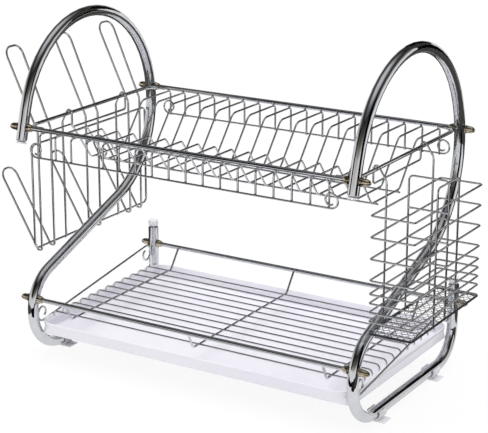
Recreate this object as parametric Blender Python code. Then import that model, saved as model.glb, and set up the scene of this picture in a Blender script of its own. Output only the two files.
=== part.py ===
"""Two-tier dish rack: two bent tube frames carry a plate rack and a bottom rack.

X runs along the rack, left to right, Y runs to the back and Z runs up. The rack
stands on four plastic feet, with the origin under the middle of its bounding box.
Heights are first counted from the underside of the base tubes, lengths from the
middle of the rack, and one empty then carries everything to the origin.
"""
import math

import bmesh
import bpy
from mathutils import Vector

MM = 0.001

# Pieces that are welded or rest on each other keep a hair of air between their meshes.
WELD_GAP = 0.3 * MM
# Wires of one welded grille or basket sink this far into each other.
WELD_DEPTH = 0.6 * MM
SAME_PLACE = 0.001 * MM
BORE_CLEARANCE = 0.3 * MM

# Side frames, one bent tube each.
TUBE_DIAMETER = 12.0 * MM
FRAME_SPACING = 400.0 * MM
ARCH_RADIUS = 119.4 * MM
ARCH_MIDDLE_Y = 7.0 * MM
ARCH_MIDDLE_HEIGHT = 252.5 * MM
FRONT_LEG_LEAN = math.radians(15.2)
LEG_END_BELOW_ARCH_MIDDLE = 2.7 * MM
STRAIGHT_ABOVE_S_BEND = 1.4 * MM
DIAGONAL_SLOPE = math.radians(20.7)
NOSE_RADIUS = 46.5 * MM
NOSE_MIDDLE_Y = -62.8 * MM
REAR_BEND_RADIUS = 36.7 * MM
REAR_POST_TOP_HEIGHT = 91.0 * MM
TUBE_SOCKET_DEPTH = 12.0 * MM
TUBE_WALL = 1.0 * MM

# Plugs in the tube ends.
PLUG_HEAD_HEIGHT = 1.6 * MM
PLUG_STEM_LENGTH = 9.0 * MM
CAP_HEAD_HEIGHT = 6.5 * MM

# Feet, clipped round the base tubes.
FOOT_BELOW_TUBE = 2.5 * MM
FOOT_PLATE_LENGTH = 25.0 * MM
FOOT_PLATE_EDGE = 1.4 * MM
FOOT_DEPTH = 15.0 * MM
FOOT_CLIP_WALL = 1.8 * MM
FOOT_CLIP_OPENING = math.radians(62.0)
FRONT_FOOT_BEHIND_NOSE = 8.3 * MM
REAR_FOOT_INSET = 53.4 * MM

# Rails that run through both frames and take the nuts.
RAIL_DIAMETER = 5.0 * MM
UPPER_RAIL_ABOVE_ARCH_MIDDLE = 12.4 * MM
LOWER_RAIL_BELOW_POST_TOP = 22.7 * MM
ACORN_NUT_LENGTH = 11.0 * MM
ACORN_NUT_RADIUS = 4.3 * MM
ACORN_NUT_SKIRT = 5.0 * MM
ACORN_NUT_BORE_DEPTH = 7.5 * MM
INNER_NUT_LENGTH = 5.7 * MM
INNER_NUT_WIDE_RADIUS = 4.7 * MM
INNER_NUT_NARROW_RADIUS = 3.5 * MM

# Wires.
END_RAIL_DIAMETER = 4.0 * MM
RACK_WIRE_DIAMETER = 2.1 * MM
CROSS_WIRE_DIAMETER = 2.6 * MM
SCROLL_WIRE_DIAMETER = 2.4 * MM
CUP_WIRE_DIAMETER = 2.4 * MM
BASKET_WIRE_DIAMETER = 2.1 * MM

# Upper rack.
END_RAIL_INSET = 2.0 * MM
END_RAIL_CORNER_RADIUS = 16.0 * MM
END_RAIL_ARM_LENGTH = 5.4 * MM
DIVIDER_COUNT = 18
DIVIDER_PITCH = 20.55 * MM
DIVIDER_TURN_RADIUS = 4.0 * MM
DIVIDER_FRONT_PEAK_Y = -62.0 * MM
DIVIDER_FRONT_VALLEY_Y = -28.0 * MM
DIVIDER_REAR_VALLEY_Y = 35.2 * MM
DIVIDER_REAR_PEAK_Y = 72.5 * MM
DIVIDER_VALLEY_DROP = 44.6 * MM
DIVIDER_PEAK_RADIUS = 5.0 * MM
DIVIDER_VALLEY_RADIUS = 8.0 * MM
DIVIDER_REAR_PEAK_RADIUS = 12.0 * MM
FRONT_FENCE_DROP = 28.9 * MM
REAR_FENCE_DROP = 32.4 * MM
FENCE_STUB_OVERHANG = 1.0 * MM
FENCE_SCROLL_RADIUS = 7.6 * MM
FENCE_SCROLL_TIP_RADIUS = 3.6 * MM
FENCE_SCROLL_INSET = 22.0 * MM
SUPPORT_FRONT_Y = -19.0 * MM
SUPPORT_REAR_Y = 31.0 * MM
SUPPORT_SCROLL_RADIUS = 5.6 * MM
SUPPORT_SCROLL_TIP_RADIUS = 2.4 * MM
SUPPORT_OVERHANG = 3.0 * MM
SCROLL_TURN = math.radians(395.0)
SUPPORT_SCROLL_TURN = math.radians(335.0)

# Lower rack.
LONG_WIRE_COUNT = 12
LONG_WIRE_PITCH = 16.4 * MM
LONG_WIRE_REAR_INSET = 29.2 * MM
LONG_WIRE_HEIGHT = 48.0 * MM
LONG_WIRE_END_INSET = 8.5 * MM
LONG_WIRE_DROP = 6.2 * MM
LONG_WIRE_TURN_RADIUS = 4.6 * MM
CROSS_WIRE_END_INSET = 39.0 * MM
CROSS_WIRE_FALL_LENGTH = 15.4 * MM
CROSS_WIRE_RISE_LENGTH = 20.4 * MM
CROSS_WIRE_RADIUS = 5.0 * MM

# Scroll braces inside the side frames.
BRACE_FRONT_REACH = 29.8 * MM
BRACE_FRONT_MIDDLE_HEIGHT = 46.5 * MM
BRACE_FRONT_RADIUS = 8.2 * MM
BRACE_REAR_MIDDLE_HEIGHT = 59.5 * MM
BRACE_REAR_RADIUS = 9.0 * MM
BRACE_TIP_RADIUS = 3.4 * MM
BRACE_FRONT_TURN = math.radians(330.0)
BRACE_REAR_TURN = math.radians(345.0)

# Drip tray, cradled by the bends of the base tubes.
TRAY_FLOOR_HEIGHT = 27.0 * MM
TRAY_WALL_HEIGHT = 15.5 * MM
TRAY_THICKNESS = 1.5 * MM
TRAY_END_INSET = 4.4 * MM
TRAY_FRONT_REACH = 39.4 * MM
TRAY_REAR_INSET = 2.9 * MM
TRAY_FLOOR_CORNER = 8.0 * MM
TRAY_SIDE_FLARE = 1.8 * MM
TRAY_FRONT_FLARE = 4.5 * MM
TRAY_RIM_CORNER = 20.0 * MM

# Cup holder, hung on the left end rail.
CUP_TUBE_CLEARANCE = 0.5 * MM
CUP_FRAME_FRONT_Y = -88.0 * MM
CUP_FRAME_REAR_Y = 127.0 * MM
CUP_FRAME_TOP_DROP = 27.4 * MM
CUP_FRAME_HEIGHT = 118.0 * MM
CUP_FRAME_CORNER = 6.0 * MM
CUP_HOOK_FRONT_Y = -35.5 * MM
CUP_HOOK_REAR_Y = 65.5 * MM
HOOK_DROP = 15.5 * MM
HOOK_TURN_RADIUS = 3.0 * MM
HOOK_SHOULDER_DROP = 11.0 * MM
HOOK_SHOULDER_RADIUS = 8.0 * MM
HOOK_PLAY = 0.4 * MM
CUP_PRONG_PLACES = (-68.5 * MM, 18.5 * MM, 101.5 * MM)
CUP_PRONG_WIDTH = 22.6 * MM
CUP_PRONG_TIP_WIDTH = 27.0 * MM
CUP_PRONG_LOWER_TIP_WIDTH = 23.0 * MM
CUP_PRONG_BEND_DROP = 13.4 * MM
CUP_PRONG_UPPER_REACH = 40.5 * MM
CUP_PRONG_UPPER_TIP_RISE = 75.6 * MM
CUP_PRONG_LOWER_REACH = 50.0 * MM
CUP_PRONG_LOWER_TIP_DROP = 64.9 * MM
CUP_PRONG_TURN_DROP = 1.5 * MM
CUP_PRONG_BEND_RADIUS = 6.0 * MM
CUP_PRONG_TIP_RADIUS = 10.5 * MM
PRONG_WRAP_SHARE = 0.98

# Cutlery basket, hung on the right end rail.
BASKET_TUBE_CLEARANCE = 0.7 * MM
BASKET_WIDTH = 47.0 * MM
BASKET_FRONT_Y = -94.0 * MM
BASKET_REAR_Y = 64.0 * MM
BASKET_CORNER = 3.0 * MM
BASKET_TOP_DROP = 38.4 * MM
BASKET_WIDE_PITCH = 22.0 * MM
BASKET_MIDDLE_PITCH = 14.0 * MM
BASKET_NARROW_PITCH = 9.5 * MM
BASKET_WIDE_RINGS = 4
BASKET_NARROW_RINGS = 4
BASKET_FLOOR_DROP = 12.5 * MM
BASKET_FLOOR_THICKNESS = 1.0 * MM
BASKET_RIM_HEIGHT = 5.0 * MM
BASKET_RIM_THICKNESS = 1.2 * MM
BASKET_HOOK_FRONT_Y = -64.5 * MM
BASKET_HOOK_REAR_Y = 42.0 * MM
BASKET_PARTITION_Y = -14.5 * MM
BASKET_PARTITION_RISE = 22.0 * MM
BASKET_BAIL_FRONT_Y = -41.0 * MM
BASKET_BAIL_REAR_Y = 9.0 * MM
BASKET_BAIL_RISE = 21.0 * MM
BASKET_WIRE_TURN = 5.0 * MM
PARTITION_BAR_DROPS = (11.5 * MM, 42.5 * MM, 66.5 * MM, 88.5 * MM, 100.5 * MM)

# Mesh fineness.
ARC_STEP = math.radians(17.0)
SCROLL_STEP = math.radians(30.0)
WIRE_SIDES_RESOLUTION = 1
TUBE_SIDES_RESOLUTION = 4
CUTTER_SIDES = 16
TURNED_STEPS = 12
DOME_STEPS = 4
FOOT_CLIP_STEPS = 6
WIDE_STEP_SHARE = 1.6
COARSE_STEP_SHARE = 2.0
FINE_STEP_SHARE = 0.7
SHARP_ANGLE = math.radians(40.0)
FEWEST_SCROLL_STEPS = 3

# Sizes that follow from the ones above.
TUBE_RADIUS = TUBE_DIAMETER / 2
FRAME_X = FRAME_SPACING / 2
TUBE_INNER_FACE_X = FRAME_X - TUBE_RADIUS
TUBE_OUTER_FACE_X = FRAME_X + TUBE_RADIUS
REAR_POST_Y = ARCH_MIDDLE_Y + ARCH_RADIUS
FRONT_LEG_END_HEIGHT = ARCH_MIDDLE_HEIGHT - LEG_END_BELOW_ARCH_MIDDLE
UPPER_RAIL_HEIGHT = ARCH_MIDDLE_HEIGHT + UPPER_RAIL_ABOVE_ARCH_MIDDLE
LOWER_RAIL_HEIGHT = REAR_POST_TOP_HEIGHT - LOWER_RAIL_BELOW_POST_TOP
NOSE_RAIL_RISE = LOWER_RAIL_HEIGHT - TUBE_RADIUS - NOSE_RADIUS
LOWER_FRONT_RAIL_Y = NOSE_MIDDLE_Y - math.sqrt(NOSE_RADIUS ** 2 - NOSE_RAIL_RISE ** 2)
CROSS_WIRE_FRONT_Y = LOWER_FRONT_RAIL_Y + CROSS_WIRE_FALL_LENGTH
CROSS_WIRE_REAR_Y = REAR_POST_Y - CROSS_WIRE_RISE_LENGTH
LONG_WIRE_REAR_Y = REAR_POST_Y - LONG_WIRE_REAR_INSET
LONG_WIRE_END_X = FRAME_X - LONG_WIRE_END_INSET
TRAY_FLOOR_HALF_LENGTH = FRAME_X - TRAY_END_INSET
TRAY_FLOOR_FRONT_Y = NOSE_MIDDLE_Y - TRAY_FRONT_REACH
TRAY_FLOOR_REAR_Y = REAR_POST_Y - TRAY_REAR_INSET
CUP_FRAME_TOP_HEIGHT = UPPER_RAIL_HEIGHT - CUP_FRAME_TOP_DROP
CUP_FRAME_BOTTOM_HEIGHT = CUP_FRAME_TOP_HEIGHT - CUP_FRAME_HEIGHT
BASKET_TOP_HEIGHT = UPPER_RAIL_HEIGHT - BASKET_TOP_DROP


def clear_scene():
    for old_object in list(bpy.data.objects):
        bpy.data.objects.remove(old_object, do_unlink=True)


def make_material(name, colour, roughness, metallic):
    material = bpy.data.materials.new(name)
    material.use_nodes = True
    shader = material.node_tree.nodes["Principled BSDF"]
    shader.inputs["Base Color"].default_value = (*colour, 1.0)
    shader.inputs["Roughness"].default_value = roughness
    shader.inputs["Metallic"].default_value = metallic
    return material


def make_finishes():
    chrome = (0.80, 0.81, 0.83)
    brass = (0.72, 0.64, 0.50)
    milk = (0.86, 0.86, 0.90)
    return {
        "chrome": lambda name: make_material(name, chrome, 0.08, 1.0),
        "brass": lambda name: make_material(name, brass, 0.22, 1.0),
        "plastic": lambda name: make_material(name, milk, 0.45, 0.0),
    }


def fillet(points, radii, closed=False, step=ARC_STEP):
    """Round the corners of a 3-D polyline, one radius for each inner corner."""
    count = len(points)
    rounded = []
    for index, corner in enumerate(points):
        if not closed and index in (0, count - 1):
            rounded.append(corner.copy())
            continue
        radius = radii[index] if closed else radii[index - 1]
        before = (points[index - 1] - corner).normalized()
        after = (points[(index + 1) % count] - corner).normalized()
        turn = math.pi - before.angle(after)
        reach = radius * math.tan(turn / 2)
        middle = corner + (before + after).normalized() * radius / math.cos(turn / 2)
        start = corner + before * reach - middle
        steps = max(1, round(turn / step))
        for number in range(steps + 1):
            angle = turn * number / steps
            point = middle + start * math.cos(angle) - before * radius * math.sin(angle)
            if not rounded or (point - rounded[-1]).length > SAME_PLACE:
                rounded.append(point)
    return rounded


def spiral(middle, start_angle, turn, radius, tip_radius):
    """A flat scroll, round for its first half turn and then winding inwards."""
    steps = max(FEWEST_SCROLL_STEPS, round(abs(turn) / SCROLL_STEP))
    points = []
    for number in range(steps + 1):
        angle = abs(turn) * number / steps
        wound_share = max(0.0, angle - math.pi) / (abs(turn) - math.pi)
        reach = radius + (tip_radius - radius) * wound_share
        heading = start_angle + math.copysign(angle, turn)
        points.append((middle[0] + reach * math.cos(heading), middle[1] + reach * math.sin(heading)))
    return points


def wire_object(name, path, diameter, material, closed=False, resolution=WIRE_SIDES_RESOLUTION):
    """One closed solid of round wire along a path."""
    curve = bpy.data.curves.new(name, "CURVE")
    curve.dimensions = "3D"
    curve.bevel_depth = diameter / 2
    curve.bevel_resolution = resolution
    curve.use_fill_caps = True
    spline = curve.splines.new("POLY")
    spline.points.add(len(path) - 1)
    for point, place in zip(spline.points, path):
        point.co = (*place, 1.0)
    spline.use_cyclic_u = closed
    spline.use_smooth = True
    curve.materials.append(material)
    wire = bpy.data.objects.new(name, curve)
    bpy.context.collection.objects.link(wire)
    return wire


def mesh_from_curve(curve_object):
    """Turn a curve object into a mesh object of the same name, its ends welded."""
    name = curve_object.name
    graph = bpy.context.evaluated_depsgraph_get()
    mesh = bpy.data.meshes.new_from_object(curve_object.evaluated_get(graph))
    bpy.data.objects.remove(curve_object, do_unlink=True)
    shape = bmesh.new()
    shape.from_mesh(mesh)
    bmesh.ops.remove_doubles(shape, verts=shape.verts, dist=SAME_PLACE)
    bmesh.ops.recalc_face_normals(shape, faces=shape.faces)
    shape.to_mesh(mesh)
    shape.free()
    mesh.name = name
    solid = bpy.data.objects.new(name, mesh)
    bpy.context.collection.objects.link(solid)
    return solid


def object_from_bmesh(name, shape, material):
    bmesh.ops.recalc_face_normals(shape, faces=shape.faces)
    mesh = bpy.data.meshes.new(name)
    shape.to_mesh(mesh)
    shape.free()
    mesh.materials.append(material)
    mesh.shade_smooth()
    mesh.set_sharp_from_angle(angle=SHARP_ANGLE)
    solid = bpy.data.objects.new(name, mesh)
    bpy.context.collection.objects.link(solid)
    return solid


def add_turned(shape, profile, centre, outward):
    """Spin a profile of (radius, distance) pairs about a line along X."""
    verts = []
    for radius, distance in profile:
        verts.append(shape.verts.new((centre.x + outward * distance, centre.y, centre.z + radius)))
    edges = [shape.edges.new(pair) for pair in zip(verts, verts[1:])]
    bmesh.ops.spin(
        shape,
        geom=verts + edges,
        cent=centre,
        axis=(1.0, 0.0, 0.0),
        angle=math.tau,
        steps=TURNED_STEPS,
        use_merge=True,
    )
    bmesh.ops.remove_doubles(shape, verts=shape.verts, dist=SAME_PLACE)


def add_turned_upright(shape, profile, centre, lean=0.0):
    """Spin a profile of (radius, height) pairs about a line near Z, leaning in YZ."""
    up = Vector((0.0, math.sin(lean), math.cos(lean)))
    aside = Vector((1.0, 0.0, 0.0))
    verts = [shape.verts.new(centre + aside * radius + up * height) for radius, height in profile]
    edges = [shape.edges.new(pair) for pair in zip(verts, verts[1:])]
    bmesh.ops.spin(
        shape,
        geom=verts + edges,
        cent=centre,
        axis=up,
        angle=math.tau,
        steps=TURNED_STEPS,
        use_merge=True,
    )
    bmesh.ops.remove_doubles(shape, verts=shape.verts, dist=SAME_PLACE)


def hide_cutter(cutter):
    cutter.hide_render = True
    cutter.display_type = "WIRE"


def cut(target, cutter):
    modifier = target.modifiers.new(cutter.name, "BOOLEAN")
    modifier.operation = "DIFFERENCE"
    modifier.solver = "EXACT"
    modifier.object = cutter


def weld(wires):
    """Join crossing wires into one solid, which keeps the name of the first."""
    solids = [mesh_from_curve(wire) for wire in wires]
    group = bpy.data.collections.new(f"{solids[0].name}_welds")
    bpy.context.scene.collection.children.link(group)
    for solid in solids[1:]:
        bpy.context.collection.objects.unlink(solid)
        group.objects.link(solid)
        hide_cutter(solid)
    modifier = solids[0].modifiers.new("welds", "BOOLEAN")
    modifier.operation = "UNION"
    modifier.solver = "EXACT"
    modifier.operand_type = "COLLECTION"
    modifier.collection = group


def side_profile_corners():
    """Corners of the frame's centre line in (Y, Z), before they are rounded."""
    leg_up = Vector((math.sin(FRONT_LEG_LEAN), math.cos(FRONT_LEG_LEAN)))
    leg_out = Vector((-leg_up.y, leg_up.x))
    arch_middle = Vector((ARCH_MIDDLE_Y, ARCH_MIDDLE_HEIGHT))
    leg_tangent = arch_middle + leg_out * ARCH_RADIUS
    leg_end = leg_tangent - leg_up * (leg_tangent.y - FRONT_LEG_END_HEIGHT) / leg_up.y
    arch_top = ARCH_MIDDLE_HEIGHT + ARCH_RADIUS
    front_corner = leg_tangent + leg_up * (arch_top - leg_tangent.y) / leg_up.y
    rear_corner = Vector((REAR_POST_Y, arch_top))
    forward_down = Vector((-math.cos(DIAGONAL_SLOPE), -math.sin(DIAGONAL_SLOPE)))
    nose_middle = Vector((NOSE_MIDDLE_Y, TUBE_RADIUS + NOSE_RADIUS))
    nose_start = nose_middle + Vector((forward_down.y, -forward_down.x)) * NOSE_RADIUS
    bend_corner = nose_start + forward_down * (REAR_POST_Y - nose_start.x) / forward_down.x
    nose_corner = nose_start + forward_down * (nose_start.y - TUBE_RADIUS) / -forward_down.y
    post_corner = Vector((REAR_POST_Y, TUBE_RADIUS))
    post_top = Vector((REAR_POST_Y, REAR_POST_TOP_HEIGHT))
    return [leg_end, front_corner, rear_corner, bend_corner, nose_corner, post_corner, post_top]


def s_bend_radius():
    """The radius that starts the S-bend a short straight run below the arch."""
    bend_corner = side_profile_corners()[3]
    reach = ARCH_MIDDLE_HEIGHT - STRAIGHT_ABOVE_S_BEND - bend_corner.y
    return reach / math.tan((math.pi / 2 - DIAGONAL_SLOPE) / 2)


def side_profile(x):
    corners = [Vector((x, corner.x, corner.y)) for corner in side_profile_corners()]
    radii = [ARCH_RADIUS, ARCH_RADIUS, s_bend_radius(), NOSE_RADIUS, REAR_BEND_RADIUS]
    return fillet(corners, radii, step=ARC_STEP * FINE_STEP_SHARE)


def upper_front_rail_y():
    """Where the leaning front leg stands at the height of the upper rails."""
    leg_end = side_profile_corners()[0]
    return leg_end.x + (UPPER_RAIL_HEIGHT - leg_end.y) * math.tan(FRONT_LEG_LEAN)


RAIL_PLACES = {
    "upper_front_rail": (upper_front_rail_y(), UPPER_RAIL_HEIGHT),
    "upper_rear_rail": (REAR_POST_Y, UPPER_RAIL_HEIGHT),
    "lower_front_rail": (LOWER_FRONT_RAIL_Y, LOWER_RAIL_HEIGHT),
    "lower_rear_rail": (REAR_POST_Y, LOWER_RAIL_HEIGHT),
}


def add_cylinder(shape, centre, axis, radius, length):
    ring = bmesh.ops.create_circle(shape, cap_ends=True, radius=radius, segments=CUTTER_SIDES)["verts"]
    turn = Vector((0.0, 0.0, 1.0)).rotation_difference(axis)
    bmesh.ops.rotate(shape, verts=ring, cent=(0.0, 0.0, 0.0), matrix=turn.to_matrix())
    bmesh.ops.translate(shape, verts=ring, vec=centre - axis * length / 2)
    face = next(iter(ring[0].link_faces))
    top = bmesh.ops.extrude_face_region(shape, geom=[face])["geom"]
    top_verts = [item for item in top if isinstance(item, bmesh.types.BMVert)]
    bmesh.ops.translate(shape, verts=top_verts, vec=axis * length)


def build_frame_cutter(material):
    """Cross holes for the four rails and the sockets in the tube ends."""
    shape = bmesh.new()
    hole_radius = RAIL_DIAMETER / 2 + BORE_CLEARANCE
    for y, z in RAIL_PLACES.values():
        length = FRAME_SPACING + TUBE_DIAMETER * 2
        add_cylinder(shape, Vector((0.0, y, z)), Vector((1.0, 0.0, 0.0)), hole_radius, length)
    leg_end = side_profile_corners()[0]
    leg_axis = Vector((0.0, math.sin(FRONT_LEG_LEAN), math.cos(FRONT_LEG_LEAN)))
    socket_radius = TUBE_RADIUS - TUBE_WALL
    for side in (-1, 1):
        foot_of_leg = Vector((side * FRAME_X, leg_end.x, leg_end.y))
        add_cylinder(shape, foot_of_leg, leg_axis, socket_radius, TUBE_SOCKET_DEPTH * 2)
        post_top = Vector((side * FRAME_X, REAR_POST_Y, REAR_POST_TOP_HEIGHT))
        add_cylinder(shape, post_top, Vector((0.0, 0.0, 1.0)), socket_radius, TUBE_SOCKET_DEPTH * 2)
    cutter = object_from_bmesh("frame_cutter", shape, material)
    hide_cutter(cutter)
    return cutter


def build_side_frames(finishes):
    cutter = build_frame_cutter(finishes["chrome"]("cutter_chrome"))
    for side, label in ((-1, "left"), (1, "right")):
        name = f"{label}_side_frame"
        path = side_profile(side * FRAME_X)
        chrome = finishes["chrome"](f"{name}_chrome")
        tube = wire_object(name, path, TUBE_DIAMETER, chrome, resolution=TUBE_SIDES_RESOLUTION)
        cut(mesh_from_curve(tube), cutter)


def build_tube_ends(finishes):
    leg_end = side_profile_corners()[0]
    stem_radius = TUBE_RADIUS - TUBE_WALL - BORE_CLEARANCE
    for side, label in ((-1, "left"), (1, "right")):
        plug = bmesh.new()
        profile = [
            (0.0, PLUG_STEM_LENGTH),
            (stem_radius, PLUG_STEM_LENGTH),
            (stem_radius, -WELD_GAP),
            (TUBE_RADIUS, -WELD_GAP),
            (TUBE_RADIUS, -WELD_GAP - PLUG_HEAD_HEIGHT / 2),
            (stem_radius, -WELD_GAP - PLUG_HEAD_HEIGHT),
            (0.0, -WELD_GAP - PLUG_HEAD_HEIGHT),
        ]
        place = Vector((side * FRAME_X, leg_end.x, leg_end.y))
        add_turned_upright(plug, profile, place, FRONT_LEG_LEAN)
        name = f"{label}_leg_plug"
        object_from_bmesh(name, plug, finishes["plastic"](f"{name}_plastic"))
        cap = bmesh.new()
        profile = [
            (0.0, -PLUG_STEM_LENGTH),
            (stem_radius, -PLUG_STEM_LENGTH),
            (stem_radius, WELD_GAP),
            (TUBE_RADIUS, WELD_GAP),
            (TUBE_RADIUS, WELD_GAP + CAP_HEAD_HEIGHT / 2),
            (stem_radius, WELD_GAP + CAP_HEAD_HEIGHT),
            (0.0, WELD_GAP + CAP_HEAD_HEIGHT),
        ]
        add_turned_upright(cap, profile, Vector((side * FRAME_X, REAR_POST_Y, REAR_POST_TOP_HEIGHT)))
        name = f"{label}_post_cap"
        object_from_bmesh(name, cap, finishes["plastic"](f"{name}_plastic"))


def foot_outline():
    """Half of a foot seen along the tube, from its middle underneath to its clip."""
    inner_radius = TUBE_RADIUS + WELD_GAP
    outer_radius = inner_radius + FOOT_CLIP_WALL
    half_plate = FOOT_PLATE_LENGTH / 2
    plate_top = -FOOT_BELOW_TUBE + FOOT_PLATE_EDGE
    clip_start = math.asin((plate_top - TUBE_RADIUS) / outer_radius)
    clip_end = math.pi / 2 - FOOT_CLIP_OPENING
    steps = FOOT_CLIP_STEPS
    outline = [(half_plate, -FOOT_BELOW_TUBE), (half_plate, plate_top)]
    for number in range(steps + 1):
        angle = clip_start + (clip_end - clip_start) * number / steps
        outline.append((outer_radius * math.cos(angle), TUBE_RADIUS + outer_radius * math.sin(angle)))
    for number in range(steps + 1):
        angle = clip_end - (clip_end + math.pi / 2) * number / steps
        outline.append((inner_radius * math.cos(angle), TUBE_RADIUS + inner_radius * math.sin(angle)))
    return outline


def build_feet(finishes):
    half = foot_outline()
    outline = half + [(-x, z) for x, z in reversed(half[:-1])]
    places = ((NOSE_MIDDLE_Y + FRONT_FOOT_BEHIND_NOSE, "front"), (REAR_POST_Y - REAR_FOOT_INSET, "rear"))
    for side, side_label in ((-1, "left"), (1, "right")):
        for y, end_label in places:
            shape = bmesh.new()
            verts = [shape.verts.new((side * FRAME_X + x, y - FOOT_DEPTH / 2, z)) for x, z in outline]
            face = shape.faces.new(verts)
            pushed = bmesh.ops.extrude_face_region(shape, geom=[face])["geom"]
            moved = [item for item in pushed if isinstance(item, bmesh.types.BMVert)]
            bmesh.ops.translate(shape, verts=moved, vec=(0.0, FOOT_DEPTH, 0.0))
            name = f"{side_label}_{end_label}_foot"
            object_from_bmesh(name, shape, finishes["plastic"](f"{name}_plastic"))


def build_rails(finishes):
    """Turned rails, each with the two cone nuts that bear on the frames inside."""
    end_x = TUBE_OUTER_FACE_X + ACORN_NUT_BORE_DEPTH
    nut_x = TUBE_INNER_FACE_X - WELD_GAP
    rod = RAIL_DIAMETER / 2
    half = [
        (0.0, end_x),
        (rod, end_x),
        (rod, nut_x),
        (INNER_NUT_WIDE_RADIUS, nut_x),
        (INNER_NUT_NARROW_RADIUS, nut_x - INNER_NUT_LENGTH),
        (rod, nut_x - INNER_NUT_LENGTH),
    ]
    profile = [(radius, -x) for radius, x in half] + list(reversed(half))
    for name, (y, z) in RAIL_PLACES.items():
        shape = bmesh.new()
        add_turned(shape, profile, Vector((0.0, y, z)), 1)
        object_from_bmesh(name, shape, finishes["chrome"](f"{name}_chrome"))


def acorn_profile():
    """Skirt, dome and blind bore of a cap nut, as (radius, distance) pairs."""
    bore = RAIL_DIAMETER / 2 + BORE_CLEARANCE
    dome_length = ACORN_NUT_LENGTH - ACORN_NUT_SKIRT
    profile = [(0.0, ACORN_NUT_BORE_DEPTH), (bore, ACORN_NUT_BORE_DEPTH), (bore, 0.0)]
    profile.append((ACORN_NUT_RADIUS, 0.0))
    for number in range(DOME_STEPS):
        angle = math.pi / 2 * number / DOME_STEPS
        reach = ACORN_NUT_SKIRT + dome_length * math.sin(angle)
        profile.append((ACORN_NUT_RADIUS * math.cos(angle), reach))
    profile.append((0.0, ACORN_NUT_LENGTH))
    return profile


def build_acorn_nuts(finishes):
    for rail_name, (y, z) in RAIL_PLACES.items():
        for side, label in ((-1, "left"), (1, "right")):
            name = f"{rail_name}_{label}_nut"
            seat = Vector((side * (TUBE_OUTER_FACE_X + WELD_GAP), y, z))
            shape = bmesh.new()
            add_turned(shape, acorn_profile(), seat, side)
            object_from_bmesh(name, shape, finishes["brass"](f"{name}_brass"))


def build_end_rails(finishes):
    rail_offset = RAIL_DIAMETER / 2 + END_RAIL_DIAMETER / 2 + WELD_GAP
    front_y = upper_front_rail_y() + rail_offset
    rear_y = REAR_POST_Y - rail_offset
    for side, label in ((-1, "left"), (1, "right")):
        outer_x = side * (FRAME_X - END_RAIL_INSET)
        arm_x = side * (FRAME_X - END_RAIL_INSET - END_RAIL_CORNER_RADIUS - END_RAIL_ARM_LENGTH)
        corners = [
            Vector((arm_x, front_y, UPPER_RAIL_HEIGHT)),
            Vector((outer_x, front_y, UPPER_RAIL_HEIGHT)),
            Vector((outer_x, rear_y, UPPER_RAIL_HEIGHT)),
            Vector((arm_x, rear_y, UPPER_RAIL_HEIGHT)),
        ]
        path = fillet(corners, [END_RAIL_CORNER_RADIUS] * 2)
        name = f"upper_{label}_end_rail"
        wire_object(name, path, END_RAIL_DIAMETER, finishes["chrome"](f"{name}_chrome"))


def divider_height():
    return UPPER_RAIL_HEIGHT - RAIL_DIAMETER / 2 - RACK_WIRE_DIAMETER / 2 - WELD_GAP


def divider_path(x):
    top = divider_height()
    valley = top - DIVIDER_VALLEY_DROP
    front_stub_end = UPPER_RAIL_HEIGHT - FRONT_FENCE_DROP - FENCE_STUB_OVERHANG
    rear_stub_end = UPPER_RAIL_HEIGHT - REAR_FENCE_DROP - FENCE_STUB_OVERHANG
    front_stub_y = upper_front_rail_y() - DIVIDER_TURN_RADIUS
    rear_stub_y = REAR_POST_Y + DIVIDER_TURN_RADIUS
    corners = [
        Vector((x, front_stub_y, front_stub_end)),
        Vector((x, front_stub_y, top)),
        Vector((x, DIVIDER_FRONT_PEAK_Y, top)),
        Vector((x, DIVIDER_FRONT_VALLEY_Y, valley)),
        Vector((x, DIVIDER_REAR_VALLEY_Y, valley)),
        Vector((x, DIVIDER_REAR_PEAK_Y, top)),
        Vector((x, rear_stub_y, top)),
        Vector((x, rear_stub_y, rear_stub_end)),
    ]
    radii = [
        DIVIDER_TURN_RADIUS,
        DIVIDER_PEAK_RADIUS,
        DIVIDER_VALLEY_RADIUS,
        DIVIDER_VALLEY_RADIUS,
        DIVIDER_REAR_PEAK_RADIUS,
        DIVIDER_TURN_RADIUS,
    ]
    return fillet(corners, radii, step=ARC_STEP * WIDE_STEP_SHARE)


def build_dividers(finishes):
    for index in range(DIVIDER_COUNT):
        x = (index - (DIVIDER_COUNT - 1) / 2) * DIVIDER_PITCH
        name = f"plate_divider_{index + 1:02d}"
        wire_object(name, divider_path(x), RACK_WIRE_DIAMETER, finishes["chrome"](f"{name}_chrome"))


def build_fence_rails(finishes):
    offset = DIVIDER_TURN_RADIUS + RACK_WIRE_DIAMETER + WELD_GAP
    down = -math.pi / 2
    for y, drop, label in ((upper_front_rail_y() - offset, FRONT_FENCE_DROP, "front"),
                           (REAR_POST_Y + offset, REAR_FENCE_DROP, "rear")):
        middle_height = UPPER_RAIL_HEIGHT - drop + FENCE_SCROLL_RADIUS
        right = spiral((FRAME_X - FENCE_SCROLL_INSET, middle_height), down, SCROLL_TURN,
                       FENCE_SCROLL_RADIUS, FENCE_SCROLL_TIP_RADIUS)
        outline = [(-x, height) for x, height in reversed(right)] + right
        path = [Vector((x, y, height)) for x, height in outline]
        name = f"{label}_fence_rail"
        wire_object(name, path, RACK_WIRE_DIAMETER, finishes["chrome"](f"{name}_chrome"))


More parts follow.
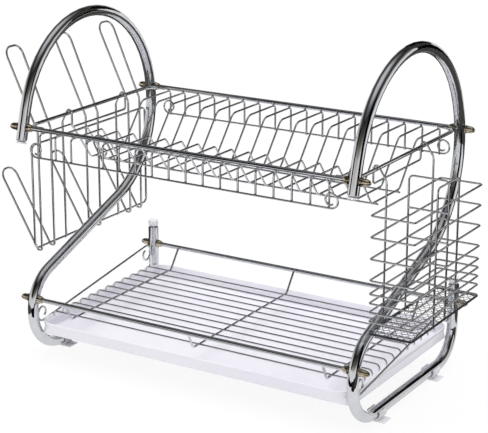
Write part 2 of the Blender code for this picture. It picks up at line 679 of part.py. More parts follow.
def build_support_wires(finishes):
    z = divider_height() - DIVIDER_VALLEY_DROP - RACK_WIRE_DIAMETER - WELD_GAP
    end_x = (DIVIDER_COUNT - 1) / 2 * DIVIDER_PITCH + SUPPORT_OVERHANG
    scroll_x = -(DIVIDER_COUNT / 2 - 1) * DIVIDER_PITCH
    curl = spiral((scroll_x, z + SUPPORT_SCROLL_RADIUS), -math.pi / 2, -SUPPORT_SCROLL_TURN,
                  SUPPORT_SCROLL_RADIUS, SUPPORT_SCROLL_TIP_RADIUS)
    front = [Vector((x, SUPPORT_FRONT_Y, height)) for x, height in reversed(curl)]
    front.append(Vector((end_x, SUPPORT_FRONT_Y, z)))
    rear = [Vector((-end_x, SUPPORT_REAR_Y, z)), Vector((end_x, SUPPORT_REAR_Y, z))]
    for path, label in ((front, "front"), (rear, "rear")):
        name = f"plate_{label}_support_wire"
        wire_object(name, path, RACK_WIRE_DIAMETER, finishes["chrome"](f"{name}_chrome"))


def cross_wire_height():
    return LONG_WIRE_HEIGHT - RACK_WIRE_DIAMETER / 2 - CROSS_WIRE_DIAMETER / 2 + WELD_DEPTH


def cross_wire_path(x):
    offset = RAIL_DIAMETER / 2 + CROSS_WIRE_DIAMETER / 2 + WELD_GAP
    low = cross_wire_height()
    corners = [
        Vector((x, LOWER_FRONT_RAIL_Y + offset, LOWER_RAIL_HEIGHT)),
        Vector((x, CROSS_WIRE_FRONT_Y, low)),
        Vector((x, CROSS_WIRE_REAR_Y, low)),
        Vector((x, REAR_POST_Y - offset, LOWER_RAIL_HEIGHT)),
    ]
    return fillet(corners, [CROSS_WIRE_RADIUS] * 2)


def long_wire_path(y):
    end_height = LONG_WIRE_HEIGHT - LONG_WIRE_DROP
    corners = [
        Vector((-LONG_WIRE_END_X, y, end_height)),
        Vector((-LONG_WIRE_END_X, y, LONG_WIRE_HEIGHT)),
        Vector((LONG_WIRE_END_X, y, LONG_WIRE_HEIGHT)),
        Vector((LONG_WIRE_END_X, y, end_height)),
    ]
    return fillet(corners, [LONG_WIRE_TURN_RADIUS] * 2, step=ARC_STEP * COARSE_STEP_SHARE)


def build_bottom_grille(finishes):
    """Long wires with turned-down ends, welded on three wires that hang from the rails."""
    chrome = finishes["chrome"]("bottom_grille_chrome")
    wires = []
    for index in (-1, 0, 1):
        path = cross_wire_path(index * (FRAME_X - CROSS_WIRE_END_INSET))
        wires.append(wire_object("bottom_grille", path, CROSS_WIRE_DIAMETER, chrome))
    for index in range(LONG_WIRE_COUNT):
        path = long_wire_path(LONG_WIRE_REAR_Y - index * LONG_WIRE_PITCH)
        wires.append(wire_object("bottom_grille", path, RACK_WIRE_DIAMETER, chrome))
    weld(wires)


def build_scroll_braces(finishes):
    """An S-shaped wire from the nose of the frame to its rear post."""
    rear_y = REAR_POST_Y - TUBE_RADIUS - WELD_GAP - SCROLL_WIRE_DIAMETER / 2 - BRACE_REAR_RADIUS
    front = Vector((NOSE_MIDDLE_Y - BRACE_FRONT_REACH, BRACE_FRONT_MIDDLE_HEIGHT))
    rear = Vector((rear_y, BRACE_REAR_MIDDLE_HEIGHT))
    between = rear - front
    tilt = math.atan2(between.y, between.x)
    tilt += math.asin((BRACE_FRONT_RADIUS + BRACE_REAR_RADIUS) / between.length)
    front_curl = spiral(front, tilt - math.pi / 2, -BRACE_FRONT_TURN, BRACE_FRONT_RADIUS, BRACE_TIP_RADIUS)
    rear_curl = spiral(rear, tilt + math.pi / 2, -BRACE_REAR_TURN, BRACE_REAR_RADIUS, BRACE_TIP_RADIUS)
    outline = list(reversed(front_curl)) + rear_curl
    for side, label in ((-1, "left"), (1, "right")):
        path = [Vector((side * FRAME_X, y, z)) for y, z in outline]
        name = f"{label}_scroll_brace"
        wire_object(name, path, SCROLL_WIRE_DIAMETER, finishes["chrome"](f"{name}_chrome"))


def tray_ring(shape, half_length, front_y, rear_y, corner, z):
    """One closed ring of vertices: a rectangle with rounded corners."""
    corners = [
        Vector((-half_length, front_y, z)),
        Vector((half_length, front_y, z)),
        Vector((half_length, rear_y, z)),
        Vector((-half_length, rear_y, z)),
    ]
    return [shape.verts.new(point) for point in fillet(corners, [corner] * 4, closed=True)]


def bridge(shape, first, second):
    count = len(first)
    for index in range(count):
        after = (index + 1) % count
        shape.faces.new((first[index], first[after], second[after], second[index]))


def build_tray(finishes):
    shape = bmesh.new()
    rim_z = TRAY_FLOOR_HEIGHT + TRAY_WALL_HEIGHT
    rim_half = TRAY_FLOOR_HALF_LENGTH + TRAY_SIDE_FLARE
    rim_front = TRAY_FLOOR_FRONT_Y - TRAY_FRONT_FLARE
    rim_rear = TRAY_FLOOR_REAR_Y + TRAY_FRONT_FLARE
    skin = TRAY_THICKNESS
    outer_low = tray_ring(shape, TRAY_FLOOR_HALF_LENGTH, TRAY_FLOOR_FRONT_Y, TRAY_FLOOR_REAR_Y,
                          TRAY_FLOOR_CORNER, TRAY_FLOOR_HEIGHT)
    outer_high = tray_ring(shape, rim_half, rim_front, rim_rear, TRAY_RIM_CORNER, rim_z)
    inner_high = tray_ring(shape, rim_half - skin, rim_front + skin, rim_rear - skin,
                           TRAY_RIM_CORNER - skin, rim_z)
    inner_low = tray_ring(shape, TRAY_FLOOR_HALF_LENGTH - skin, TRAY_FLOOR_FRONT_Y + skin,
                          TRAY_FLOOR_REAR_Y - skin, TRAY_FLOOR_CORNER - skin, TRAY_FLOOR_HEIGHT + skin)
    bridge(shape, outer_low, outer_high)
    bridge(shape, outer_high, inner_high)
    bridge(shape, inner_high, inner_low)
    shape.faces.new(outer_low)
    shape.faces.new(inner_low)
    object_from_bmesh("drip_tray", shape, finishes["plastic"]("drip_tray_plastic"))


def hook_path(side, body_x, bottom_z, front_y, rear_y, diameter):
    """A wire that rises from a hung body, leans over the end rail, runs along it inside and comes back."""
    rail_x = FRAME_X - END_RAIL_INSET
    reach = (END_RAIL_DIAMETER + diameter) / 2 + HOOK_PLAY
    across = body_x - rail_x
    lean = math.acos(reach / math.hypot(across, HOOK_SHOULDER_DROP)) - math.atan2(HOOK_SHOULDER_DROP, across)
    places = (
        (body_x, bottom_z),
        (body_x, UPPER_RAIL_HEIGHT - HOOK_SHOULDER_DROP),
        (rail_x - reach, UPPER_RAIL_HEIGHT + reach / math.tan(lean / 2)),
        (rail_x - reach, UPPER_RAIL_HEIGHT - HOOK_DROP),
    )
    corners = [Vector((side * x, front_y, z)) for x, z in places]
    corners += [Vector((side * x, rear_y, z)) for x, z in reversed(places)]
    radii = [HOOK_SHOULDER_RADIUS, reach, HOOK_TURN_RADIUS]
    return fillet(corners, radii + radii[::-1], step=ARC_STEP * WIDE_STEP_SHARE)


def prong_path(middle_y, leg_x, wrap_radius):
    """One closed cup prong: a tall upper finger, two legs and a short lower finger."""
    half = CUP_PRONG_WIDTH / 2
    upper_half = CUP_PRONG_TIP_WIDTH / 2
    lower_half = CUP_PRONG_LOWER_TIP_WIDTH / 2
    upper_x = leg_x - CUP_PRONG_UPPER_REACH
    outer_x = leg_x - wrap_radius * 2
    lower_x = outer_x - CUP_PRONG_LOWER_REACH
    low_z = CUP_FRAME_BOTTOM_HEIGHT - CUP_PRONG_TURN_DROP - wrap_radius
    bend_z = UPPER_RAIL_HEIGHT - CUP_PRONG_BEND_DROP
    upper_tip_z = UPPER_RAIL_HEIGHT + CUP_PRONG_UPPER_TIP_RISE
    lower_tip_z = UPPER_RAIL_HEIGHT - CUP_PRONG_LOWER_TIP_DROP
    corners = []
    radii = []
    for side in (-1, 1):
        leg_y = middle_y + side * half
        upper_tip = Vector((upper_x, middle_y + side * upper_half, upper_tip_z))
        lower_tip = Vector((lower_x, middle_y + side * lower_half, lower_tip_z))
        run = [
            (upper_tip, CUP_PRONG_TIP_RADIUS),
            (Vector((leg_x, leg_y, bend_z)), CUP_PRONG_BEND_RADIUS),
            (Vector((leg_x, leg_y, low_z)), wrap_radius * PRONG_WRAP_SHARE),
            (Vector((outer_x, leg_y, low_z)), wrap_radius * PRONG_WRAP_SHARE),
            (lower_tip, CUP_PRONG_TIP_RADIUS),
        ]
        if side > 0:
            run.reverse()
        corners += [corner for corner, radius in run]
        radii += [radius for corner, radius in run]
    return fillet(corners, radii, closed=True, step=ARC_STEP * WIDE_STEP_SHARE)


def build_cup_holder(finishes):
    hook_x = TUBE_OUTER_FACE_X + CUP_TUBE_CLEARANCE + CUP_WIRE_DIAMETER / 2
    frame_x = hook_x + CUP_WIRE_DIAMETER + WELD_GAP
    corners = [
        Vector((-frame_x, CUP_FRAME_FRONT_Y, CUP_FRAME_BOTTOM_HEIGHT)),
        Vector((-frame_x, CUP_FRAME_REAR_Y, CUP_FRAME_BOTTOM_HEIGHT)),
        Vector((-frame_x, CUP_FRAME_REAR_Y, CUP_FRAME_TOP_HEIGHT)),
        Vector((-frame_x, CUP_FRAME_FRONT_Y, CUP_FRAME_TOP_HEIGHT)),
    ]
    loop = fillet(corners, [CUP_FRAME_CORNER] * 4, closed=True, step=ARC_STEP * COARSE_STEP_SHARE)
    chrome = finishes["chrome"]
    wire_object("cup_holder_frame", loop, CUP_WIRE_DIAMETER, chrome("cup_holder_frame_chrome"), closed=True)
    hook = hook_path(-1, hook_x, CUP_FRAME_BOTTOM_HEIGHT, CUP_HOOK_FRONT_Y, CUP_HOOK_REAR_Y,
                     CUP_WIRE_DIAMETER)
    wire_object("cup_holder_hook", hook, CUP_WIRE_DIAMETER, chrome("cup_holder_hook_chrome"))
    for label, middle_y in zip(("front", "middle", "rear"), CUP_PRONG_PLACES):
        name = f"{label}_cup_prong"
        path = prong_path(middle_y, -hook_x, frame_x - hook_x)
        wire_object(name, path, CUP_WIRE_DIAMETER, chrome(f"{name}_chrome"), closed=True)


def basket_ring_heights():
    heights = [BASKET_TOP_HEIGHT - index * BASKET_WIDE_PITCH for index in range(BASKET_WIDE_RINGS)]
    low = heights[-1] - BASKET_MIDDLE_PITCH
    heights += [low - index * BASKET_NARROW_PITCH for index in range(BASKET_NARROW_RINGS)]
    return heights


def basket_ring_corners(inner_x, outer_x, front_y, rear_y, z):
    return [
        Vector((inner_x, front_y, z)),
        Vector((outer_x, front_y, z)),
        Vector((outer_x, rear_y, z)),
        Vector((inner_x, rear_y, z)),
    ]


def basket_arch(places, low_z, high_z):
    """A wire that stands on two places, joined by a run along the top."""
    corners = [Vector((*places[0], z)) for z in (low_z, high_z)]
    corners += [Vector((*places[1], z)) for z in (high_z, low_z)]
    return fillet(corners, [BASKET_WIRE_TURN] * 2, step=ARC_STEP * WIDE_STEP_SHARE)


def build_basket(finishes):
    wire = BASKET_WIRE_DIAMETER
    inner_x = TUBE_OUTER_FACE_X + BASKET_TUBE_CLEARANCE + wire / 2
    outer_x = inner_x + BASKET_WIDTH
    bar_inner_x = inner_x + wire - WELD_DEPTH
    bar_outer_x = outer_x - wire + WELD_DEPTH
    heights = basket_ring_heights()
    floor_z = heights[-1] - BASKET_FLOOR_DROP
    bar_end_z = floor_z + WELD_GAP
    paths = [hook_path(1, bar_inner_x, bar_end_z, BASKET_HOOK_FRONT_Y, BASKET_HOOK_REAR_Y, wire)]
    places = ((bar_inner_x, BASKET_PARTITION_Y), (bar_outer_x, BASKET_PARTITION_Y))
    paths.append(basket_arch(places, bar_end_z, BASKET_TOP_HEIGHT + BASKET_PARTITION_RISE))
    places = ((bar_outer_x, BASKET_BAIL_FRONT_Y), (bar_outer_x, BASKET_BAIL_REAR_Y))
    paths.append(basket_arch(places, bar_end_z, BASKET_TOP_HEIGHT + BASKET_BAIL_RISE))
    for drop in PARTITION_BAR_DROPS:
        z = BASKET_TOP_HEIGHT - drop
        paths.append([Vector((x, BASKET_PARTITION_Y, z)) for x in (bar_inner_x, bar_outer_x)])
    chrome = finishes["chrome"]("cutlery_basket_wires_chrome")
    wires = [wire_object("cutlery_basket_wires", path, wire, chrome) for path in paths]
    for z in heights:
        corners = basket_ring_corners(inner_x, outer_x, BASKET_FRONT_Y, BASKET_REAR_Y, z)
        ring = fillet(corners, [BASKET_CORNER] * 4, closed=True, step=ARC_STEP * COARSE_STEP_SHARE)
        wires.append(wire_object("cutlery_basket_wires", ring, wire, chrome, closed=True))
    weld(wires)
    build_basket_floor(finishes, inner_x, outer_x, floor_z)


def build_basket_floor(finishes, inner_x, outer_x, floor_z):
    """The sheet floor with its folded rim, one closed dish."""
    shape = bmesh.new()
    reach = BASKET_WIRE_DIAMETER / 2
    low_z = floor_z - BASKET_FLOOR_THICKNESS
    rim_z = low_z + BASKET_RIM_HEIGHT
    levels = ((reach, low_z), (reach, rim_z), (reach - BASKET_RIM_THICKNESS, rim_z),
              (reach - BASKET_RIM_THICKNESS, floor_z))
    rings = []
    for grow, z in levels:
        corners = basket_ring_corners(inner_x - grow, outer_x + grow, BASKET_FRONT_Y - grow,
                                      BASKET_REAR_Y + grow, z)
        rounded = fillet(corners, [BASKET_CORNER + grow] * 4, closed=True, step=ARC_STEP * COARSE_STEP_SHARE)
        rings.append([shape.verts.new(point) for point in rounded])
    for first, second in zip(rings, rings[1:]):
        bridge(shape, first, second)
    shape.faces.new(rings[0])
    shape.faces.new(rings[-1])
    object_from_bmesh("cutlery_basket_floor", shape, finishes["chrome"]("cutlery_basket_floor_chrome"))


def place_on_origin():
    """Carry the rack so that the origin lies under the middle of its bounding box."""
    graph = bpy.context.evaluated_depsgraph_get()
    pieces = [piece for piece in bpy.data.objects if piece.type in ("MESH", "CURVE")]
    places = []
    for piece in pieces:
        if piece.hide_render:
            continue
        mesh = piece.evaluated_get(graph).to_mesh()
        places += [vertex.co.copy() for vertex in mesh.vertices]
        piece.evaluated_get(graph).to_mesh_clear()
    low = Vector(min(place[axis] for place in places) for axis in range(3))
    high = Vector(max(place[axis] for place in places) for axis in range(3))
    root = bpy.data.objects.new("rack_origin", None)
    bpy.context.collection.objects.link(root)
    root.location = (-(low.x + high.x) / 2, -(low.y + high.y) / 2, -low.z)
    for piece in pieces:
        piece.parent = root


def build_rack():
    clear_scene()
    finishes = make_finishes()
    build_side_frames(finishes)
    build_tube_ends(finishes)
    build_feet(finishes)
    build_rails(finishes)
    build_acorn_nuts(finishes)
    build_end_rails(finishes)
    build_dividers(finishes)
    build_fence_rails(finishes)
    build_support_wires(finishes)
    build_bottom_grille(finishes)
    build_scroll_braces(finishes)
    build_tray(finishes)
    build_cup_holder(finishes)
    build_basket(finishes)
    place_on_origin()


build_rack()
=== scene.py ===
# %% [markdown]
# A two-tier dish rack of chrome-plated tube and wire. The rigid model is loaded first
# and never moved. Every wire, tube and moulding is then made again as a fine mesh that
# takes the place of the coarse solid under it. The order is: helpers, finishes, side
# frames, upper rack, lower rack, tray, cup holder, basket, and last the studio.
# %% Load the rigid model
import math

import bmesh
import bpy
from mathutils import Matrix, Vector


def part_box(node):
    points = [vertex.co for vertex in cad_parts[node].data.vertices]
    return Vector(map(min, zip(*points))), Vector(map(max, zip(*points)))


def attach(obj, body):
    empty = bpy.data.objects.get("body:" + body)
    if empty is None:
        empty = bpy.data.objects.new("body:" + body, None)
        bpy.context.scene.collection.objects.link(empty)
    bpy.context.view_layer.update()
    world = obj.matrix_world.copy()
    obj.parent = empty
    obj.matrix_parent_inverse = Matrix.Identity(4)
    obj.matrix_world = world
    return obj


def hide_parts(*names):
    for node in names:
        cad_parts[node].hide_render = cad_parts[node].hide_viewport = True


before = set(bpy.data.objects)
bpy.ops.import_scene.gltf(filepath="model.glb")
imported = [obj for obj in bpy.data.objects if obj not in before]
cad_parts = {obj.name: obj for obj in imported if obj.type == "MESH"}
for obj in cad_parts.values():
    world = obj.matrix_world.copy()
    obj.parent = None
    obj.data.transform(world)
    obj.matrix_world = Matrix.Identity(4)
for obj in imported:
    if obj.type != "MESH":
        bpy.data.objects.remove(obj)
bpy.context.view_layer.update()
MM = 0.001
UPWARD = Vector((0.0, 0.0, 1.0))
SIDES = ((-1, "left"), (1, "right"))

# %% [markdown]
# The rack is easiest to measure from the middle between its two frames and from the
# underside of the base tubes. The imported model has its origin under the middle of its
# whole box, so one offset carries each finished mesh there. It is read from the frames
# and the feet, not typed in.
# %% Where the rack's own middle lies
TUBE_RADIUS = 6.0 * MM
FRAME_X = 200.0 * MM
ARCH_RADIUS = 119.4 * MM
ARCH_MIDDLE = Vector((7.0 * MM, 252.5 * MM))
POST_Y = ARCH_MIDDLE.x + ARCH_RADIUS
FOOT_DROP = 2.5 * MM

left_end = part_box("left_side_frame")[0].x
right_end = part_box("right_side_frame")[1].x
rail_low, rail_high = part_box("lower_rear_rail")
floor_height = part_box("left_front_foot")[0].z
rail_y = (rail_low.y + rail_high.y) / 2
PLACE = Vector(((left_end + right_end) / 2, rail_y - POST_Y, floor_height + FOOT_DROP))
print("offset in mm:", [round(value / MM, 2) for value in PLACE])

# %% [markdown]
# Bent wire is a straight piece with arcs where it passed round the pins of a bending
# jig. A list of corners with one radius each says that plainly. A spline would cut the
# corners softly, which looks like cord, so each corner is rounded with a true arc.
# %% Paths for bent wire
ARC_STEP = math.radians(7.0)
SAME_PLACE = 0.001 * MM


def bend(corners, radii, closed=False):
    """Points along a polyline whose corners are rounded to the given radii."""
    count = len(corners)
    points = []
    for index, corner in enumerate(corners):
        if not closed and index in (0, count - 1):
            points.append(corner.copy())
            continue
        radius = radii[index] if closed else radii[index - 1]
        before = (corners[index - 1] - corner).normalized()
        after = (corners[(index + 1) % count] - corner).normalized()
        turn = math.pi - before.angle(after)
        middle = corner + (before + after).normalized() * radius / math.cos(turn / 2)
        start = corner + before * radius * math.tan(turn / 2) - middle
        steps = max(2, round(turn / ARC_STEP))
        for number in range(steps + 1):
            angle = turn * number / steps
            point = middle + start * math.cos(angle) - before * radius * math.sin(angle)
            if not points or (point - points[-1]).length > SAME_PLACE:
                points.append(point)
    return points


def rectangle(x_ends, y_ends, z):
    """Corners of a level rectangle, in the order a pen would draw it."""
    (low_x, high_x), (low_y, high_y) = x_ends, y_ends
    places = ((low_x, low_y), (high_x, low_y), (high_x, high_y), (low_x, high_y))
    return [Vector((x, y, z)) for x, y in places]


def upright(x, outline):
    """Lift (y, z) pairs into the upright plane at x."""
    return [Vector((x, y, z)) for y, z in outline]


def scroll(middle, start_angle, turn, radius, tip_radius):
    """A flat curl in two coordinates: round for half a turn, then winding inwards."""
    steps = round(abs(turn) / ARC_STEP)
    points = []
    for number in range(steps + 1):
        angle = abs(turn) * number / steps
        wound_share = max(0.0, angle - math.pi) / (abs(turn) - math.pi)
        reach = radius + (tip_radius - radius) * wound_share
        heading = start_angle + math.copysign(angle, turn)
        points.append((middle[0] + reach * math.cos(heading), middle[1] + reach * math.sin(heading)))
    return points


print("a square corner gets", round(math.pi / 2 / ARC_STEP), "steps")

# %% [markdown]
# A wire is a ring of vertices pushed along its path: extrude the ring's edges, move the
# new ring to the next point, turn it to face the way on. A beveled curve would give the
# same tube, but here the cut ends can be chamfered in the same pass, as wire cutters
# and a tumbler leave them, and closed loops are bridged to their own first ring.
# %% Sweep a ring along a path
WIRE_SIDES = 12
TUBE_SIDES = 36
END_CHAMFER_SHARE = 0.35


def ring_edges(verts):
    inside = set(verts)
    edges = {edge for vert in verts for edge in vert.link_edges}
    return [edge for edge in edges if edge.verts[0] in inside and edge.verts[1] in inside]


def only_verts(parts):
    return [part for part in parts if isinstance(part, bmesh.types.BMVert)]


def as_mesh(name, shape):
    """Turn a finished shape into a mesh and let go of the shape."""
    mesh = bpy.data.meshes.new(name)
    shape.to_mesh(mesh)
    shape.free()
    return mesh


def close_end(shape, edges, centre, outward, radius):
    """Chamfer and fill one end of a wire."""
    chamfer = radius * END_CHAMFER_SHARE
    verts = only_verts(bmesh.ops.extrude_edge_only(shape, edges=edges)["geom"])
    shrink = 1.0 - END_CHAMFER_SHARE
    bmesh.ops.scale(shape, vec=(shrink, shrink, shrink), space=Matrix.Translation(-centre), verts=verts)
    bmesh.ops.translate(shape, vec=outward * chamfer, verts=verts)
    bmesh.ops.contextual_create(shape, geom=ring_edges(verts))


def wire_mesh(path, radius, sides=WIRE_SIDES, closed=False):
    """A mesh of round wire along a path; both ends lie on the path's own ends."""
    points = [point.copy() for point in path]
    if not closed:
        chamfer = radius * END_CHAMFER_SHARE
        points[0] += (points[1] - points[0]).normalized() * chamfer
        points[-1] += (points[-2] - points[-1]).normalized() * chamfer
    count = len(points)
    steps = [(points[(index + 1) % count] - points[index]).normalized() for index in range(count)]
    if not closed:
        steps[-1] = steps[-2]
    ahead = [(steps[index - 1] + steps[index]).normalized() for index in range(count)]
    if not closed:
        ahead[0] = steps[0]
        ahead[-1] = steps[-1]
    shape = bmesh.new()
    facing = UPWARD.rotation_difference(ahead[0]).to_matrix().to_4x4()
    start = Matrix.Translation(points[0]) @ facing
    ring = bmesh.ops.create_circle(shape, segments=sides, radius=radius, matrix=start)["verts"]
    first_edges = ring_edges(ring)
    edges = first_edges
    for index in range(1, count):
        verts = only_verts(bmesh.ops.extrude_edge_only(shape, edges=edges)["geom"])
        turn = ahead[index - 1].rotation_difference(ahead[index]).to_matrix()
        bmesh.ops.translate(shape, vec=points[index] - points[index - 1], verts=verts)
        bmesh.ops.rotate(shape, cent=points[index], matrix=turn, verts=verts)
        edges = ring_edges(verts)
    if closed:
        bmesh.ops.bridge_loops(shape, edges=first_edges + edges)
    else:
        close_end(shape, first_edges, points[0], -ahead[0], radius)
        close_end(shape, edges, points[-1], ahead[-1], radius)
    bmesh.ops.recalc_face_normals(shape, faces=shape.faces)
    return as_mesh("wire", shape)


def add_wire(shape, path, radius, sides=WIRE_SIDES, closed=False):
    mesh = wire_mesh(path, radius, sides, closed)
    shape.from_mesh(mesh)
    bpy.data.meshes.remove(mesh)


print("wire sides:", WIRE_SIDES, "tube sides:", TUBE_SIDES)

# %% [markdown]
# Resistance welding melts crossing wires a little into each other and leaves a small
# bright pad round the touch. Each pad is a low ball squashed between the two wires, with
# few faces, because there are over two hundred of them.
# %% Weld pads, turned pieces and finishing
PAD_SIDES = 8
PAD_RINGS = 5
PAD_SPREAD_SHARE = 1.4
PAD_DEPTH = 0.8 * MM
SPIN_STEPS = 28
SHARP_ANGLE = math.radians(38.0)


def pad_size(radius, thin_axis):
    """Half sizes of a weld: a little wider than the wire, and flat between the two."""
    size = [radius * PAD_SPREAD_SHARE] * 3
    size[thin_axis] = PAD_DEPTH
    return size


def add_pad(shape, place, size):
    matrix = Matrix.Translation(place) @ Matrix.Diagonal((*size, 1.0))
    bmesh.ops.create_uvsphere(shape, u_segments=PAD_SIDES, v_segments=PAD_RINGS, radius=1.0, matrix=matrix)


def add_object(name, data):
    made = bpy.data.objects.new(name, data)
    bpy.context.scene.collection.objects.link(made)
    return made


def finish_piece(name, shape, finish, body, nodes=()):
    """Carry a shape to the rack's place and make it a piece that stands for its nodes."""
    bmesh.ops.translate(shape, vec=PLACE, verts=shape.verts)
    bmesh.ops.recalc_face_normals(shape, faces=shape.faces)
    mesh = as_mesh(name, shape)
    mesh.materials.append(finish)
    mesh.shade_smooth()
    mesh.set_sharp_from_angle(angle=SHARP_ANGLE)
    piece = add_object(name, mesh)
    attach(piece, body)
    if nodes:
        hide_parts(*nodes)
    print(name, "has", len(mesh.polygons), "faces")


def wire_piece(name, path, radius, node, body="rack", closed=False, pads=()):
    """One chromed wire with its weld pads, which stands for one node."""
    shape = bmesh.new()
    add_wire(shape, path, radius, closed=closed)
    for place, size in pads:
        add_pad(shape, place, size)
    finish_piece(name, shape, wire_chrome, body, [node])


def turned_piece(name, profile, foot, axis, finish, nodes=()):
    """Spin (radius, distance) pairs about an axis through foot."""
    shape = bmesh.new()
    aside = axis.orthogonal().normalized()
    verts = [shape.verts.new(foot + aside * radius + axis * reach) for radius, reach in profile]
    edges = [shape.edges.new(pair) for pair in zip(verts, verts[1:])]
    bmesh.ops.spin(
        shape, geom=verts + edges, cent=foot, axis=axis, angle=math.tau, steps=SPIN_STEPS, use_merge=True
    )
    bmesh.ops.remove_doubles(shape, verts=shape.verts, dist=SAME_PLACE)
    finish_piece(name, shape, finish, "rack", nodes)


print("a pad has", PAD_SIDES * PAD_RINGS, "faces")

# %% [markdown]
# Finishes are written as the colours one sees, in sRGB hex, and turned into linear
# light once. One helper fills or links a node's inputs and another adds the node, so
# each finish below reads as a short recipe. Noise stays near a half, so it is stretched from
# its usual low and high values over the range that is wanted.
# %% Colour and node helpers
NOISE_RANGE = (0.3, 0.7)


def colour(text):
    """sRGB hex to linear RGBA."""
    channels = [int(text[index:index + 2], 16) / 255 for index in (1, 3, 5)]
    linear = [c / 12.92 if c <= 0.04045 else ((c + 0.055) / 1.055) ** 2.4 for c in channels]
    return (*linear, 1.0)


def fill(owner, node, **inputs):
    """Fill a node's inputs, each with a value or from the output socket of another node."""
    for name, value in inputs.items():
        socket = node.inputs[name.replace("_", " ")]
        if isinstance(value, bpy.types.NodeSocket):
            owner.node_tree.links.new(value, socket)
        else:
            socket.default_value = value
    return node


def add_node(owner, kind, **inputs):
    return fill(owner, owner.node_tree.nodes.new(kind), **inputs)


def start_finish(name):
    material = bpy.data.materials.new(name)
    material.use_nodes = True
    shader = material.node_tree.nodes["Principled BSDF"]
    place = material.node_tree.nodes.new("ShaderNodeTexCoord").outputs["Object"]
    return material, shader, place


def noise(material, place, pattern_size, detail=3.0):
    """Noise whose patches are about pattern_size across."""
    node = add_node(material, "ShaderNodeTexNoise", Vector=place, Scale=1.0 / pattern_size, Detail=detail)
    return node.outputs["Fac"]


def spread(material, value, low, high):
    from_low, from_high = NOISE_RANGE
    ends = {"From_Min": from_low, "From_Max": from_high, "To_Min": low, "To_Max": high}
    return add_node(material, "ShaderNodeMapRange", Value=value, **ends).outputs["Result"]


def blend_colours(material, share, first, second):
    node = material.node_tree.nodes.new("ShaderNodeMix")
    node.data_type = "RGBA"
    fill(material, node, Factor=share, A=colour(first), B=colour(second))
    return node.outputs["Result"]


def add_bump(material, shader, height, depth):
    node = add_node(material, "ShaderNodeBump", Height=height, Distance=depth, Strength=1.0)
    fill(material, shader, Normal=node.outputs["Normal"])


print("mid grey in linear light:", round(colour("#808080")[0], 3))

# %% [markdown]
# Chrome plate is a mirror with a faint blue-grey cast. What makes it read as metal is
# what it reflects, but real plate also has slow waves from the polished steel below and
# a slightly uneven gloss from wiping. Both come from noise at the size they have on the
# real tube: waves some 40 mm long, smears some 12 mm wide. The nuts have the warm tint
# of nickel. The expanded steel under the basket is duller, since it was cut and pulled.
# A recipe is a light and a dark tint, the range of roughness, and the waves' length and
# depth.
# %% Chrome plate
EDGE_TINT = "#EAEAEC"
SMEAR_WIDTH = 12.0 * MM
WAVE_DETAIL = 2.0
METALS = {
    "tube chrome plate": ("#D3D5D8", "#C8CACE", (0.02, 0.05), 40.0 * MM, 0.02 * MM),
    "wire chrome plate": ("#DCDDDF", "#C4C5C8", (0.06, 0.13), 9.0 * MM, 0.02 * MM),
    "warm nickel nut": ("#D9CEBB", "#9F927B", (0.10, 0.22), 3.0 * MM, 0.03 * MM),
    "folded rim chrome": ("#B4B6BA", "#94969A", (0.14, 0.26), 5.0 * MM, 0.05 * MM),
    "bright expanded steel": ("#C4C7CC", "#8F9399", (0.20, 0.30), 4.0 * MM, 0.03 * MM),
}


def chrome(name, light, dark, gloss, wave_size, wave_depth):
    material, shader, place = start_finish(name)
    smears = noise(material, place, SMEAR_WIDTH)
    tint = blend_colours(material, spread(material, smears, 0.0, 1.0), light, dark)
    rough = spread(material, smears, *gloss)
    fill(material, shader, Metallic=1.0, Specular_Tint=colour(EDGE_TINT), Base_Color=tint, Roughness=rough)
    add_bump(material, shader, noise(material, place, wave_size, WAVE_DETAIL), wave_depth)
    return material


metals = [chrome(name, *recipe) for name, recipe in METALS.items()]
tube_chrome, wire_chrome, nut_nickel, rim_chrome, mesh_chrome = metals
print("metals:", ", ".join(METALS))

# %% [markdown]
# The tray and the feet are milky plastic: light passes but no picture comes through
# sharply. Transmission with a rough surface gives that softly blurred look. A flow
# pattern from moulding varies the milkiness slowly, and a fine grain breaks the gloss.
# A recipe is a light and a dark tint, the clearness and the range of roughness.
# %% Milky plastic
FLOW_SIZE = 90.0 * MM
GRAIN_SIZE = 0.8 * MM
GRAIN_DEPTH = 0.008 * MM
GRAIN_DETAIL = 2.0
PLASTIC_IOR = 1.49
PLASTIC_SHINE = 0.3
PLASTICS = {
    "milky tray plastic": ("#F8F7FD", "#F0EEF8", 0.08, (0.16, 0.24)),
    "frosted foot plastic": ("#FAF9FC", "#F1F0F6", 0.25, (0.28, 0.42)),
}


def milky(name, light, dark, clearness, roughness):
    material, shader, place = start_finish(name)
    tint = blend_colours(material, noise(material, place, FLOW_SIZE, detail=0.0), light, dark)
    grain = noise(material, place, GRAIN_SIZE, GRAIN_DETAIL)
    rough = spread(material, grain, *roughness)
    fill(material, shader, Base_Color=tint, Transmission_Weight=clearness, IOR=PLASTIC_IOR)
    fill(material, shader, Specular_IOR_Level=PLASTIC_SHINE, Roughness=rough)
    add_bump(material, shader, grain, GRAIN_DEPTH)
    return material


tray_plastic, foot_plastic = [milky(name, *recipe) for name, recipe in PLASTICS.items()]
print("plastics:", ", ".join(PLASTICS))

